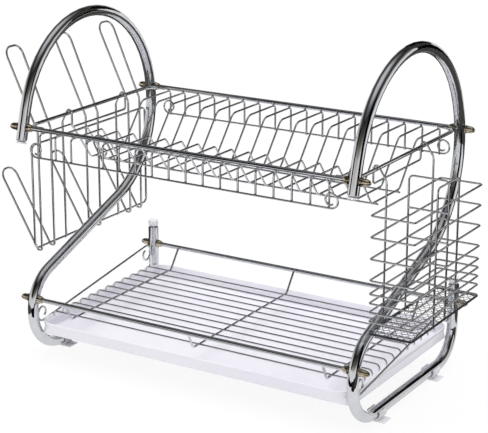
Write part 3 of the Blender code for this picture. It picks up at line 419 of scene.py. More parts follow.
# %% [markdown]
# Each side frame is one bent tube. Seen from the side it is an arch, a leaning front
# leg, a long S from the rear to the front, a round nose, a straight base and a short
# post. Seven corners and five radii say all of it. The corners are found from the
# arch, the lean of the leg and the slope of the diagonal, as one would set out the jig.
# %% Side frames
LEG_LEAN = math.radians(15.2)
LEG_END_DROP = 2.7 * MM
STRAIGHT_ABOVE_S_BEND = 1.4 * MM
DIAGONAL_SLOPE = math.radians(20.7)
NOSE_RADIUS = 46.5 * MM
NOSE_Y = -62.8 * MM
REAR_BEND_RADIUS = 36.7 * MM
POST_TOP = 91.0 * MM
LEG_END = ARCH_MIDDLE.y - LEG_END_DROP
LEG_UP = Vector((math.sin(LEG_LEAN), math.cos(LEG_LEAN)))


def frame_corners():
    leg_out = Vector((-LEG_UP.y, LEG_UP.x))
    tangent = ARCH_MIDDLE + leg_out * ARCH_RADIUS
    leg_end = tangent - LEG_UP * (tangent.y - LEG_END) / LEG_UP.y
    arch_top = ARCH_MIDDLE.y + ARCH_RADIUS
    front_corner = tangent + LEG_UP * (arch_top - tangent.y) / LEG_UP.y
    downhill = Vector((-math.cos(DIAGONAL_SLOPE), -math.sin(DIAGONAL_SLOPE)))
    nose_middle = Vector((NOSE_Y, TUBE_RADIUS + NOSE_RADIUS))
    nose_start = nose_middle + Vector((downhill.y, -downhill.x)) * NOSE_RADIUS
    rear_corner = nose_start + downhill * (POST_Y - nose_start.x) / downhill.x
    nose_corner = nose_start + downhill * (nose_start.y - TUBE_RADIUS) / -downhill.y
    base_corner = Vector((POST_Y, TUBE_RADIUS))
    return [leg_end, front_corner, Vector((POST_Y, arch_top)), rear_corner, nose_corner, base_corner,
            Vector((POST_Y, POST_TOP))]


def frame_path(x):
    flat = frame_corners()
    fall = ARCH_MIDDLE.y - STRAIGHT_ABOVE_S_BEND - flat[3].y
    s_radius = fall / math.tan((math.pi / 2 - DIAGONAL_SLOPE) / 2)
    radii = [ARCH_RADIUS, ARCH_RADIUS, s_radius, NOSE_RADIUS, REAR_BEND_RADIUS]
    return bend(upright(x, flat), radii)


for side, label in SIDES:
    tube = bmesh.new()
    add_wire(tube, frame_path(side * FRAME_X), TUBE_RADIUS, TUBE_SIDES)
    finish_piece(f"{label}_bent_tube", tube, tube_chrome, "rack", [f"{label}_side_frame"])

# %% [markdown]
# The open ends of the tube are stopped: a thin plastic plug under each front leg and a
# taller frosted cap on each rear post. Both are turned shapes with a soft edge, so their
# profiles carry a small chamfer.
# %% Plugs and caps
PLUG_GAP = 0.3 * MM
PLUG_HEIGHT = 1.6 * MM
CAP_HEIGHT = 6.5 * MM
EDGE = 0.9 * MM
SHOULDER_SHARE = 0.3


def stopper_profile(height):
    rim = TUBE_RADIUS
    shoulder = EDGE * SHOULDER_SHARE
    return [(0.0, 0.0), (rim - EDGE / 2, 0.0), (rim, EDGE / 2), (rim, height - EDGE),
            (rim - shoulder, height - shoulder), (rim - EDGE, height), (0.0, height)]


for side, label in SIDES:
    leg_end = frame_corners()[0]
    down_leg = Vector((0.0, -LEG_UP.x, -LEG_UP.y))
    foot = Vector((side * FRAME_X, leg_end.x, leg_end.y)) + down_leg * PLUG_GAP
    turned_piece(f"{label}_leg_stopper", stopper_profile(PLUG_HEIGHT), foot, down_leg, foot_plastic,
                 [f"{label}_leg_plug"])
    foot = Vector((side * FRAME_X, POST_Y, POST_TOP + PLUG_GAP))
    turned_piece(f"{label}_post_stopper", stopper_profile(CAP_HEIGHT), foot, UPWARD, foot_plastic,
                 [f"{label}_post_cap"])

# %% [markdown]
# The feet are small mouldings that snap round the base tube: a flat sole, a web and two
# arms that hold the tube. Their outline is drawn once as a half, mirrored, pushed to
# its depth and beveled, which is how the mould's own rounded edges come about.
# %% Feet
SOLE_LENGTH = 25.0 * MM
SOLE_EDGE = 1.4 * MM
FOOT_DEPTH = 15.0 * MM
ARM_WALL = 1.8 * MM
ARM_OPENING = math.radians(62.0)
ARM_GAP = 0.3 * MM
FRONT_FOOT_BEHIND_NOSE = 8.3 * MM
REAR_FOOT_AHEAD_OF_POST = 53.4 * MM
FRONT_FOOT_Y = NOSE_Y + FRONT_FOOT_BEHIND_NOSE
REAR_FOOT_Y = POST_Y - REAR_FOOT_AHEAD_OF_POST
FOOT_BEVEL = 0.4 * MM
BEVELED_ANGLE = math.radians(60.0)
ARM_STEPS = 10


def foot_outline():
    inner = TUBE_RADIUS + ARM_GAP
    outer = inner + ARM_WALL
    sole_top = -FOOT_DROP + SOLE_EDGE
    low_angle = math.asin((sole_top - TUBE_RADIUS) / outer)
    high_angle = math.pi / 2 - ARM_OPENING
    half = [(SOLE_LENGTH / 2, -FOOT_DROP), (SOLE_LENGTH / 2, sole_top)]
    for number in range(ARM_STEPS + 1):
        angle = low_angle + (high_angle - low_angle) * number / ARM_STEPS
        half.append((outer * math.cos(angle), TUBE_RADIUS + outer * math.sin(angle)))
    for number in range(ARM_STEPS + 1):
        angle = high_angle - (high_angle + math.pi / 2) * number / ARM_STEPS
        half.append((inner * math.cos(angle), TUBE_RADIUS + inner * math.sin(angle)))
    return half + [(-x, z) for x, z in reversed(half[:-1])]


for side, side_label in SIDES:
    for y, end_label in ((FRONT_FOOT_Y, "front"), (REAR_FOOT_Y, "rear")):
        clip = bmesh.new()
        start_y = y - FOOT_DEPTH / 2
        outline = [clip.verts.new((side * FRAME_X + x, start_y, z)) for x, z in foot_outline()]
        pushed = bmesh.ops.extrude_face_region(clip, geom=[clip.faces.new(outline)])["geom"]
        bmesh.ops.translate(clip, vec=(0.0, FOOT_DEPTH, 0.0), verts=only_verts(pushed))
        bmesh.ops.recalc_face_normals(clip, faces=clip.faces)
        rims = [edge for edge in clip.edges if edge.calc_face_angle(0.0) > BEVELED_ANGLE]
        bmesh.ops.bevel(clip, geom=rims, offset=FOOT_BEVEL, offset_type="OFFSET", segments=2, profile=0.5,
                        affect="EDGES", material=-1)
        node = f"{side_label}_{end_label}_foot"
        finish_piece(f"{side_label}_{end_label}_clip", clip, foot_plastic, "rack", [node])

# %% [markdown]
# Four straight rods tie the frames and run right through the tubes. Outside, a domed
# nut closes each end; inside, a short cone nut bears on the tube. The rods are plain
# sweeps. The nuts are turned: the outer one has a collar, a waist and a long dome.
# %% Rods and nuts
ROD_RADIUS = 2.5 * MM
UPPER_ROD_ABOVE_ARCH_MIDDLE = 12.4 * MM
LOWER_ROD_BELOW_POST_TOP = 22.7 * MM
UPPER_ROD_HEIGHT = ARCH_MIDDLE.y + UPPER_ROD_ABOVE_ARCH_MIDDLE
LOWER_ROD_HEIGHT = POST_TOP - LOWER_ROD_BELOW_POST_TOP
FRONT_UPPER_Y = frame_corners()[0].x + (UPPER_ROD_HEIGHT - LEG_END) * math.tan(LEG_LEAN)
ABOVE_NOSE_MIDDLE = LOWER_ROD_HEIGHT - TUBE_RADIUS - NOSE_RADIUS
FRONT_LOWER_Y = NOSE_Y - math.sqrt(NOSE_RADIUS ** 2 - ABOVE_NOSE_MIDDLE ** 2)
RODS = {
    "upper_front_rail": (FRONT_UPPER_Y, UPPER_ROD_HEIGHT),
    "upper_rear_rail": (POST_Y, UPPER_ROD_HEIGHT),
    "lower_front_rail": (FRONT_LOWER_Y, LOWER_ROD_HEIGHT),
    "lower_rear_rail": (POST_Y, LOWER_ROD_HEIGHT),
}
NUT_SEAT = 0.3 * MM
NUT_RADIUS = 4.3 * MM
NUT_SKIRT = 4.6 * MM
NUT_LENGTH = 11.0 * MM
NUT_WAIST = 0.5 * MM
COLLAR_SHARE = 0.4
ROD_IN_NUT = 7.0 * MM
CONE_WIDE = 4.7 * MM
CONE_NARROW = 3.5 * MM
CONE_LENGTH = 5.7 * MM
DOME_STEPS = 8


def domed_nut_profile():
    collar = NUT_SKIRT * COLLAR_SHARE
    waist = NUT_RADIUS - NUT_WAIST
    profile = [(0.0, 0.0), (NUT_RADIUS - EDGE / 3, 0.0), (NUT_RADIUS, EDGE / 3), (NUT_RADIUS, collar),
               (waist, collar + EDGE / 2), (waist, NUT_SKIRT)]
    for number in range(1, DOME_STEPS):
        angle = math.pi / 2 * number / DOME_STEPS
        reach = NUT_SKIRT + (NUT_LENGTH - NUT_SKIRT) * math.sin(angle)
        profile.append((waist * math.cos(angle), reach))
    return profile + [(0.0, NUT_LENGTH)]


def cone_nut_profile():
    edge = EDGE / 3
    return [(0.0, 0.0), (CONE_WIDE - edge, 0.0), (CONE_WIDE, edge), (CONE_WIDE, EDGE),
            (CONE_NARROW, CONE_LENGTH - edge), (CONE_NARROW - edge, CONE_LENGTH), (0.0, CONE_LENGTH)]


for rod_name, (y, z) in RODS.items():
    end_x = FRAME_X + TUBE_RADIUS + ROD_IN_NUT
    rod = bmesh.new()
    add_wire(rod, [Vector((-end_x, y, z)), Vector((end_x, y, z))], ROD_RADIUS)
    finish_piece(f"{rod_name}_rod", rod, tube_chrome, "rack", [rod_name])
    for side, label in SIDES:
        outward = Vector((float(side), 0.0, 0.0))
        seat = TUBE_RADIUS + NUT_SEAT
        node = f"{rod_name}_{label}_nut"
        foot = Vector((side * (FRAME_X + seat), y, z))
        turned_piece(f"{node}_domed", domed_nut_profile(), foot, outward, nut_nickel, [node])
        foot = Vector((side * (FRAME_X - seat), y, z))
        turned_piece(f"{node}_cone", cone_nut_profile(), foot, -outward, nut_nickel)

# %% [markdown]
# The upper rack's two end wires lie in the plane of the frames and turn inward between
# the rods. The hooks of the cup holder and of the basket hang on them.
# %% End wires of the upper rack
END_WIRE_RADIUS = 2.0 * MM
END_WIRE_INSET = 2.0 * MM
END_WIRE_X = FRAME_X - END_WIRE_INSET
END_WIRE_CORNER = 16.0 * MM
END_WIRE_ARM = 5.4 * MM
END_WIRE_PAD = (2.4 * MM, 0.7 * MM, 1.2 * MM)
TOUCH = 0.3 * MM

for side, label in SIDES:
    reach = ROD_RADIUS + END_WIRE_RADIUS + TOUCH
    arm_x = side * (END_WIRE_X - END_WIRE_CORNER - END_WIRE_ARM)
    end_x = side * END_WIRE_X
    front_y = FRONT_UPPER_Y + reach
    rear_y = POST_Y - reach
    places = ((arm_x, front_y), (end_x, front_y), (end_x, rear_y), (arm_x, rear_y))
    corners = [Vector((x, y, UPPER_ROD_HEIGHT)) for x, y in places]
    pads = [(Vector((arm_x + side * END_WIRE_ARM / 2, y, UPPER_ROD_HEIGHT)), END_WIRE_PAD)
            for y in (front_y - END_WIRE_RADIUS, rear_y + END_WIRE_RADIUS)]
    path = bend(corners, [END_WIRE_CORNER] * 2)
    wire_piece(f"{label}_end_wire", path, END_WIRE_RADIUS, f"upper_{label}_end_rail", pads=pads)

# %% [markdown]
# Eighteen plate dividers hang under the two upper rods. Each is one wire: a short stub
# outside the front rod, a peak, a steep fall to a flat valley where the plates stand, a
# rise to the rear peak, and a stub again. They are one path, repeated at the plate pitch.
# %% Plate dividers
DIVIDERS = 18
DIVIDER_PITCH = 20.55 * MM
WIRE_RADIUS = 1.05 * MM
STUB_RADIUS = 4.0 * MM
FRONT_PEAK_Y = -62.0 * MM
FRONT_VALLEY_Y = -28.0 * MM
REAR_VALLEY_Y = 35.2 * MM
REAR_PEAK_Y = 72.5 * MM
VALLEY_DROP = 44.6 * MM
PEAK_RADIUS = 5.0 * MM
VALLEY_RADIUS = 8.0 * MM
REAR_PEAK_RADIUS = 12.0 * MM
FRONT_FENCE_DROP = 28.9 * MM
REAR_FENCE_DROP = 32.4 * MM
FRONT_FENCE_HEIGHT = UPPER_ROD_HEIGHT - FRONT_FENCE_DROP
REAR_FENCE_HEIGHT = UPPER_ROD_HEIGHT - REAR_FENCE_DROP
DIVIDER_TOP = UPPER_ROD_HEIGHT - ROD_RADIUS - WIRE_RADIUS - TOUCH
VALLEY_HEIGHT = DIVIDER_TOP - VALLEY_DROP
FRONT_STUB_Y = FRONT_UPPER_Y - STUB_RADIUS
REAR_STUB_Y = POST_Y + STUB_RADIUS
STUB_OVERHANG = 1.0 * MM


def divider_x(index):
    return (index - (DIVIDERS - 1) / 2) * DIVIDER_PITCH


def divider_path(x):
    front_low = FRONT_FENCE_HEIGHT - STUB_OVERHANG
    rear_low = REAR_FENCE_HEIGHT - STUB_OVERHANG
    corners = [(FRONT_STUB_Y, front_low), (FRONT_STUB_Y, DIVIDER_TOP), (FRONT_PEAK_Y, DIVIDER_TOP),
               (FRONT_VALLEY_Y, VALLEY_HEIGHT), (REAR_VALLEY_Y, VALLEY_HEIGHT), (REAR_PEAK_Y, DIVIDER_TOP),
               (REAR_STUB_Y, DIVIDER_TOP), (REAR_STUB_Y, rear_low)]
    radii = [STUB_RADIUS, PEAK_RADIUS, VALLEY_RADIUS, VALLEY_RADIUS, REAR_PEAK_RADIUS, STUB_RADIUS]
    return bend(upright(x, corners), radii)


for index in range(DIVIDERS):
    x = divider_x(index)
    touch_z = DIVIDER_TOP + WIRE_RADIUS
    pads = [(Vector((x, y, touch_z)), pad_size(WIRE_RADIUS, 2)) for y in (FRONT_UPPER_Y, POST_Y)]
    number = f"{index + 1:02d}"
    wire_piece(f"divider_wire_{number}", divider_path(x), WIRE_RADIUS, f"plate_divider_{number}", pads=pads)

# %% [markdown]
# Outside the stubs runs a fence wire, front and rear, that ends in a scroll at both
# ends. A scroll is half a circle that goes on winding inwards, drawn flat and joined to
# the straight wire without a kink, because it starts at its own lowest point.
# %% Fence wires and valley wires
FENCE_SCROLL_RADIUS = 7.6 * MM
FENCE_SCROLL_TIP = 3.6 * MM
FENCE_SCROLL_INSET = 22.0 * MM
FENCE_SCROLL_X = FRAME_X - FENCE_SCROLL_INSET
SCROLL_TURN = math.radians(395.0)
VALLEY_WIRE_FRONT_Y = -19.0 * MM
VALLEY_WIRE_REAR_Y = 31.0 * MM
VALLEY_SCROLL_RADIUS = 5.6 * MM
VALLEY_SCROLL_TIP = 2.4 * MM
VALLEY_SCROLL_TURN = math.radians(335.0)
VALLEY_OVERHANG = 3.0 * MM


def divider_pads(y, z, thin_axis):
    """A weld pad at every plate divider."""
    size = pad_size(WIRE_RADIUS, thin_axis)
    return [(Vector((divider_x(index), y, z)), size) for index in range(DIVIDERS)]


fence_reach = STUB_RADIUS + WIRE_RADIUS * 2 + TOUCH
FENCES = {
    "front": (FRONT_UPPER_Y - fence_reach, FRONT_STUB_Y - WIRE_RADIUS, FRONT_FENCE_HEIGHT),
    "rear": (POST_Y + fence_reach, REAR_STUB_Y + WIRE_RADIUS, REAR_FENCE_HEIGHT),
}
for label, (y, touch_y, low) in FENCES.items():
    middle = (FENCE_SCROLL_X, low + FENCE_SCROLL_RADIUS)
    curl = scroll(middle, -math.pi / 2, SCROLL_TURN, FENCE_SCROLL_RADIUS, FENCE_SCROLL_TIP)
    outline = [(-x, z) for x, z in reversed(curl)] + curl
    path = [Vector((x, y, z)) for x, z in outline]
    wire_piece(f"{label}_fence_wire", path, WIRE_RADIUS, f"{label}_fence_rail",
               pads=divider_pads(touch_y, low, 1))

valley_wire_z = VALLEY_HEIGHT - WIRE_RADIUS * 2 - TOUCH
end_x = divider_x(DIVIDERS - 1) + VALLEY_OVERHANG
middle = (-(DIVIDERS / 2 - 1) * DIVIDER_PITCH, valley_wire_z + VALLEY_SCROLL_RADIUS)
curl = scroll(middle, -math.pi / 2, -VALLEY_SCROLL_TURN, VALLEY_SCROLL_RADIUS, VALLEY_SCROLL_TIP)
front_path = [Vector((x, VALLEY_WIRE_FRONT_Y, z)) for x, z in reversed(curl)]
front_path.append(Vector((end_x, VALLEY_WIRE_FRONT_Y, valley_wire_z)))
rear_path = [Vector((x, VALLEY_WIRE_REAR_Y, valley_wire_z)) for x in (-end_x, end_x)]
for path, y, label in ((front_path, VALLEY_WIRE_FRONT_Y, "front"), (rear_path, VALLEY_WIRE_REAR_Y, "rear")):
    wire_piece(f"{label}_valley_wire", path, WIRE_RADIUS, f"plate_{label}_support_wire",
               pads=divider_pads(y, VALLEY_HEIGHT - WIRE_RADIUS, 2))

# %% [markdown]
# The lower rack is a grille: twelve long wires whose ends are bent down, welded on three
# cross wires that hang from the lower rods by their raised ends.
# %% Lower grille
CROSS_RADIUS = 1.3 * MM
LONG_WIRES = 12
LONG_PITCH = 16.4 * MM
LONG_HEIGHT = 48.0 * MM
LONG_REAR_AHEAD_OF_POST = 29.2 * MM
LONG_END_INSET = 8.5 * MM
LONG_REAR_Y = POST_Y - LONG_REAR_AHEAD_OF_POST
LONG_END_X = FRAME_X - LONG_END_INSET
LONG_DROP = 6.2 * MM
LONG_CORNER = 4.6 * MM
CROSS_INSET = 39.0 * MM
CROSS_X = FRAME_X - CROSS_INSET
CROSS_FALL = 15.4 * MM
CROSS_RISE = 20.4 * MM
CROSS_CORNER = 5.0 * MM
SINK = 0.6 * MM
CROSS_HEIGHT = LONG_HEIGHT - WIRE_RADIUS - CROSS_RADIUS + SINK


def cross_path(x):
    reach = ROD_RADIUS + CROSS_RADIUS + TOUCH
    corners = [(FRONT_LOWER_Y + reach, LOWER_ROD_HEIGHT), (FRONT_LOWER_Y + CROSS_FALL, CROSS_HEIGHT),
               (POST_Y - CROSS_RISE, CROSS_HEIGHT), (POST_Y - reach, LOWER_ROD_HEIGHT)]
    return bend(upright(x, corners), [CROSS_CORNER] * 2)


def long_path(y):
    low = LONG_HEIGHT - LONG_DROP
    corners = [(-LONG_END_X, low), (-LONG_END_X, LONG_HEIGHT), (LONG_END_X, LONG_HEIGHT), (LONG_END_X, low)]
    return bend([Vector((x, y, z)) for x, z in corners], [LONG_CORNER] * 2)


grille = bmesh.new()
for index in (-1, 0, 1):
    x = index * CROSS_X
    add_wire(grille, cross_path(x), CROSS_RADIUS)
    for y in (FRONT_LOWER_Y + ROD_RADIUS, POST_Y - ROD_RADIUS):
        add_pad(grille, Vector((x, y, LOWER_ROD_HEIGHT)), pad_size(CROSS_RADIUS, 1))
for index in range(LONG_WIRES):
    y = LONG_REAR_Y - index * LONG_PITCH
    add_wire(grille, long_path(y), WIRE_RADIUS)
    for cross in (-1, 0, 1):
        pad_z = LONG_HEIGHT - WIRE_RADIUS + SINK / 2
        add_pad(grille, Vector((cross * CROSS_X, y, pad_z)), pad_size(CROSS_RADIUS, 2))
finish_piece("lower_grille", grille, wire_chrome, "rack", ["bottom_grille"])

# %% [markdown]
# In the plane of each frame an S-shaped brace runs from the nose to the rear post. The straight
# part is the common tangent of its two scrolls, so its tilt follows from their places.
# %% Scroll braces
BRACE_RADIUS = 1.2 * MM
BRACE_AHEAD_OF_NOSE_MIDDLE = 29.8 * MM
BRACE_FRONT_HEIGHT = 46.5 * MM
BRACE_FRONT_SCROLL = 8.2 * MM
BRACE_REAR_SCROLL = 9.0 * MM
BRACE_REAR_HEIGHT = 59.5 * MM
BRACE_TIP = 3.4 * MM
BRACE_FRONT_TURN = math.radians(330.0)
BRACE_REAR_TURN = math.radians(345.0)

brace_front = Vector((NOSE_Y - BRACE_AHEAD_OF_NOSE_MIDDLE, BRACE_FRONT_HEIGHT))
brace_rear_y = POST_Y - TUBE_RADIUS - TOUCH - BRACE_RADIUS - BRACE_REAR_SCROLL
brace_rear = Vector((brace_rear_y, BRACE_REAR_HEIGHT))
between = brace_rear - brace_front
tilt = math.atan2(between.y, between.x)
tilt += math.asin((BRACE_FRONT_SCROLL + BRACE_REAR_SCROLL) / between.length)
front_curl = scroll(brace_front, tilt - math.pi / 2, -BRACE_FRONT_TURN, BRACE_FRONT_SCROLL, BRACE_TIP)
rear_curl = scroll(brace_rear, tilt + math.pi / 2, -BRACE_REAR_TURN, BRACE_REAR_SCROLL, BRACE_TIP)
outline = list(reversed(front_curl)) + rear_curl
for side, label in SIDES:
    wire_piece(f"{label}_s_brace", upright(side * FRAME_X, outline), BRACE_RADIUS, f"{label}_scroll_brace")

# %% [markdown]
# The drip tray is a shallow moulded basin, built as a stack of rounded rectangles. They
# go from the underside up the rounded foot, the flaring wall and the rolled rim, and
# down again inside. Each step is a bridge between two rings, so the wall has its real
# thickness everywhere.
# %% Drip tray
TRAY_FLOOR = 27.0 * MM
TRAY_WALL = 15.5 * MM
TRAY_SKIN = 1.5 * MM
TRAY_INSET = 4.4 * MM
TRAY_AHEAD_OF_NOSE_MIDDLE = 39.4 * MM
TRAY_AHEAD_OF_POST = 2.9 * MM
TRAY_HALF = FRAME_X - TRAY_INSET
TRAY_FRONT_Y = NOSE_Y - TRAY_AHEAD_OF_NOSE_MIDDLE
TRAY_REAR_Y = POST_Y - TRAY_AHEAD_OF_POST
TRAY_FLOOR_CORNER = 8.0 * MM
TRAY_END_FLARE = 1.8 * MM
TRAY_FRONT_FLARE = 4.5 * MM
TRAY_RIM_CORNER = 20.0 * MM
TRAY_FOOT_RADIUS = 1.8 * MM
LEDGE_SHARE = 0.66
LEDGE_STEP = 1.1 * MM
LEDGE_LIP_SHARE = 0.2
FOOT_FLARE_SHARE = 0.06
FOOT_ROUND_SHARES = ((1.0, 0.0), (0.4, 0.12), (0.08, 0.5))
FOOT_INSIDE_SHARE = 0.3
RIM_ROUND = ((0.0, 0.5 * MM), (0.2 * MM, 0.12 * MM), (0.6 * MM, 0.0))
RIM_INNER_EDGE = 0.4 * MM


def tray_ring(shape, flare_share, inset, z):
    """One rounded rectangle of the tray at a height, as a closed loop of edges."""
    half = TRAY_HALF + TRAY_END_FLARE * flare_share - inset
    front = TRAY_FRONT_Y - TRAY_FRONT_FLARE * flare_share + inset
    rear = TRAY_REAR_Y + TRAY_FRONT_FLARE * flare_share - inset
    radius = TRAY_FLOOR_CORNER + (TRAY_RIM_CORNER - TRAY_FLOOR_CORNER) * flare_share - inset
    corners = rectangle((-half, half), (front, rear), z)
    verts = [shape.verts.new(point) for point in bend(corners, [radius] * 4, closed=True)]
    return [shape.edges.new((verts[index - 1], verts[index])) for index in range(len(verts))]


def tray_levels():
    """(flare share, inset, height) from the middle of the floor, out, up, over and back in."""
    rim = TRAY_FLOOR + TRAY_WALL
    ledge = TRAY_FLOOR + TRAY_WALL * LEDGE_SHARE
    foot = TRAY_FOOT_RADIUS
    inside = TRAY_FLOOR + TRAY_SKIN
    lip = LEDGE_STEP * LEDGE_LIP_SHARE
    corner = foot * FOOT_INSIDE_SHARE
    return [
        *((0.0, foot * inset, TRAY_FLOOR + foot * rise) for inset, rise in FOOT_ROUND_SHARES),
        (FOOT_FLARE_SHARE, 0.0, TRAY_FLOOR + foot),
        (LEDGE_SHARE, LEDGE_STEP, ledge),
        (LEDGE_SHARE, lip, ledge + LEDGE_STEP),
        *((1.0, inset, rim - drop) for inset, drop in RIM_ROUND),
        (1.0, TRAY_SKIN - RIM_INNER_EDGE, rim),
        (1.0, TRAY_SKIN, rim - RIM_INNER_EDGE),
        (LEDGE_SHARE, lip + TRAY_SKIN, ledge + LEDGE_STEP),
        (LEDGE_SHARE, LEDGE_STEP + TRAY_SKIN, ledge),
        (FOOT_FLARE_SHARE, TRAY_SKIN, inside + foot),
        (0.0, TRAY_SKIN + corner, inside + corner),
        (0.0, TRAY_SKIN + foot, inside),
    ]


basin = bmesh.new()
rings = [tray_ring(basin, *level) for level in tray_levels()]
for first, second in zip(rings, rings[1:]):
    bmesh.ops.bridge_loops(basin, edges=first + second)
for ring in (rings[0], rings[-1]):
    bmesh.ops.contextual_create(basin, geom=ring)
finish_piece("milky_tray", basin, tray_plastic, "drip_tray", ["drip_tray"])

# %% [markdown]
# The cup holder hangs outside the left frame. A flat rectangle of wire carries three
# prongs. A prong is one endless wire: a tall finger that leans out for tall glasses, two
# straight legs, a tight turn under the rectangle and a short finger that leans out for
# cups. One hook wire goes over the end wire, along it inside, and back.
# %% Cup holder
CUP_RADIUS = 1.2 * MM
CUP_TUBE_GAP = 0.5 * MM
CUP_HOOK_X = FRAME_X + TUBE_RADIUS + CUP_TUBE_GAP + CUP_RADIUS
CUP_FRAME_X = CUP_HOOK_X + CUP_RADIUS * 2 + TOUCH
CUP_FRAME_FRONT_Y = -88.0 * MM
CUP_FRAME_REAR_Y = 127.0 * MM
CUP_FRAME_DROP = 27.4 * MM
CUP_FRAME_TALL = 118.0 * MM
CUP_FRAME_TOP = UPPER_ROD_HEIGHT - CUP_FRAME_DROP
CUP_FRAME_LOW = CUP_FRAME_TOP - CUP_FRAME_TALL
CUP_FRAME_CORNER = 6.0 * MM
HOOK_CORNER = 3.0 * MM
HOOK_SHOULDER_DROP = 11.0 * MM
HOOK_SHOULDER_RADIUS = 8.0 * MM
HOOK_PLAY = 0.4 * MM
HOOK_DROP = 15.5 * MM
CUP_HOOK_YS = (-35.5 * MM, 65.5 * MM)
PRONG_YS = {"front": -68.5 * MM, "middle": 18.5 * MM, "rear": 101.5 * MM}
PRONG_WIDTH = 22.6 * MM
PRONG_TOP_WIDTH = 27.0 * MM
PRONG_LOW_WIDTH = 23.0 * MM
PRONG_TIP_RADIUS = 10.5 * MM
PRONG_BEND_RADIUS = 6.0 * MM
PRONG_BEND_DROP = 13.4 * MM
PRONG_TOP_RISE = 75.6 * MM
PRONG_TOP_REACH = 40.5 * MM
PRONG_LOW_TIP_DROP = 64.9 * MM
PRONG_LOW_REACH = 50.0 * MM
PRONG_TURN_DROP = 1.5 * MM
WRAP_SHARE = 0.98


def hook_path(side, body_x, low_z, ys, radius):
    """Up from a hung body, leaning over the end wire, along it inside, and back."""
    reach = END_WIRE_RADIUS + radius + HOOK_PLAY
    across = body_x - END_WIRE_X
    lean = math.acos(reach / math.hypot(across, HOOK_SHOULDER_DROP))
    lean -= math.atan2(HOOK_SHOULDER_DROP, across)
    places = ((body_x, low_z), (body_x, UPPER_ROD_HEIGHT - HOOK_SHOULDER_DROP),
              (END_WIRE_X - reach, UPPER_ROD_HEIGHT + reach / math.tan(lean / 2)),
              (END_WIRE_X - reach, UPPER_ROD_HEIGHT - HOOK_DROP))
    corners = [Vector((side * x, ys[0], z)) for x, z in places]
    corners += [Vector((side * x, ys[1], z)) for x, z in reversed(places)]
    radii = [HOOK_SHOULDER_RADIUS, reach, HOOK_CORNER]
    return bend(corners, radii + radii[::-1])


def prong_path(middle_y):
    wrap = CUP_FRAME_X - CUP_HOOK_X
    low = CUP_FRAME_LOW - PRONG_TURN_DROP - wrap
    outer_x = CUP_HOOK_X + wrap * 2
    run = [
        (CUP_HOOK_X + PRONG_TOP_REACH, PRONG_TOP_WIDTH, UPPER_ROD_HEIGHT + PRONG_TOP_RISE, PRONG_TIP_RADIUS),
        (CUP_HOOK_X, PRONG_WIDTH, UPPER_ROD_HEIGHT - PRONG_BEND_DROP, PRONG_BEND_RADIUS),
        (CUP_HOOK_X, PRONG_WIDTH, low, wrap * WRAP_SHARE),
        (outer_x, PRONG_WIDTH, low, wrap * WRAP_SHARE),
        (outer_x + PRONG_LOW_REACH, PRONG_LOW_WIDTH, UPPER_ROD_HEIGHT - PRONG_LOW_TIP_DROP, PRONG_TIP_RADIUS),
    ]
    corners = [Vector((-x, middle_y - width / 2, z)) for x, width, z, radius in run]
    corners += [Vector((-x, middle_y + width / 2, z)) for x, width, z, radius in reversed(run)]
    radii = [radius for x, width, z, radius in run]
    return bend(corners, radii + radii[::-1], closed=True)


corners = [Vector((-CUP_FRAME_X, y, z)) for y, z in (
    (CUP_FRAME_FRONT_Y, CUP_FRAME_LOW), (CUP_FRAME_REAR_Y, CUP_FRAME_LOW),
    (CUP_FRAME_REAR_Y, CUP_FRAME_TOP), (CUP_FRAME_FRONT_Y, CUP_FRAME_TOP))]
pad_x = -(CUP_HOOK_X + CUP_FRAME_X) / 2
pad_ys = list(CUP_HOOK_YS) + [y + side * PRONG_WIDTH / 2 for y in PRONG_YS.values() for side in (-1, 1)]
pad_zs = (CUP_FRAME_TOP, CUP_FRAME_LOW)
pads = [(Vector((pad_x, y, z)), pad_size(CUP_RADIUS, 0)) for y in pad_ys for z in pad_zs]
loop = bend(corners, [CUP_FRAME_CORNER] * 4, closed=True)
wire_piece("cup_frame_wire", loop, CUP_RADIUS, "cup_holder_frame", "cup_holder", closed=True, pads=pads)
hook = hook_path(-1, CUP_HOOK_X, CUP_FRAME_LOW, CUP_HOOK_YS, CUP_RADIUS)
wire_piece("cup_hook_wire", hook, CUP_RADIUS, "cup_holder_hook", "cup_holder")
for label, y in PRONG_YS.items():
    wire_piece(f"{label}_prong_wire", prong_path(y), CUP_RADIUS, f"{label}_cup_prong", "cup_holder",
               closed=True)

# %% [markdown]
# The cutlery basket hangs on the right: eight rings, wide apart above and close below,
# tied by the hook wire, by a middle partition with its own cross bars, and by a small
# arch on the outer face. All ties stand just inside the rings.
# %% Basket wires
BASKET_RADIUS = 1.05 * MM
BASKET_TUBE_GAP = 0.7 * MM
BASKET_WIDTH = 47.0 * MM
BASKET_INNER_X = FRAME_X + TUBE_RADIUS + BASKET_TUBE_GAP + BASKET_RADIUS
BASKET_OUTER_X = BASKET_INNER_X + BASKET_WIDTH
BASKET_FRONT_Y = -94.0 * MM
BASKET_REAR_Y = 64.0 * MM
BASKET_CORNER = 3.0 * MM
BASKET_DROP = 38.4 * MM
BASKET_TOP = UPPER_ROD_HEIGHT - BASKET_DROP
RING_DROPS = [0.0] + [drop * MM for drop in (22.0, 44.0, 66.0, 80.0, 89.5, 99.0, 108.5)]
FLOOR_BELOW_RINGS = 12.5 * MM
BASKET_FLOOR = BASKET_TOP - RING_DROPS[-1] - FLOOR_BELOW_RINGS
BASKET_HOOK_YS = (-64.5 * MM, 42.0 * MM)
PARTITION_Y = -14.5 * MM
PARTITION_RISE = 22.0 * MM
OUTER_ARCH_YS = (-41.0 * MM, 9.0 * MM)
OUTER_ARCH_RISE = 21.0 * MM
ARCH_CORNER = 5.0 * MM
BAR_DROPS = [drop * MM for drop in (11.5, 42.5, 66.5, 88.5, 100.5)]
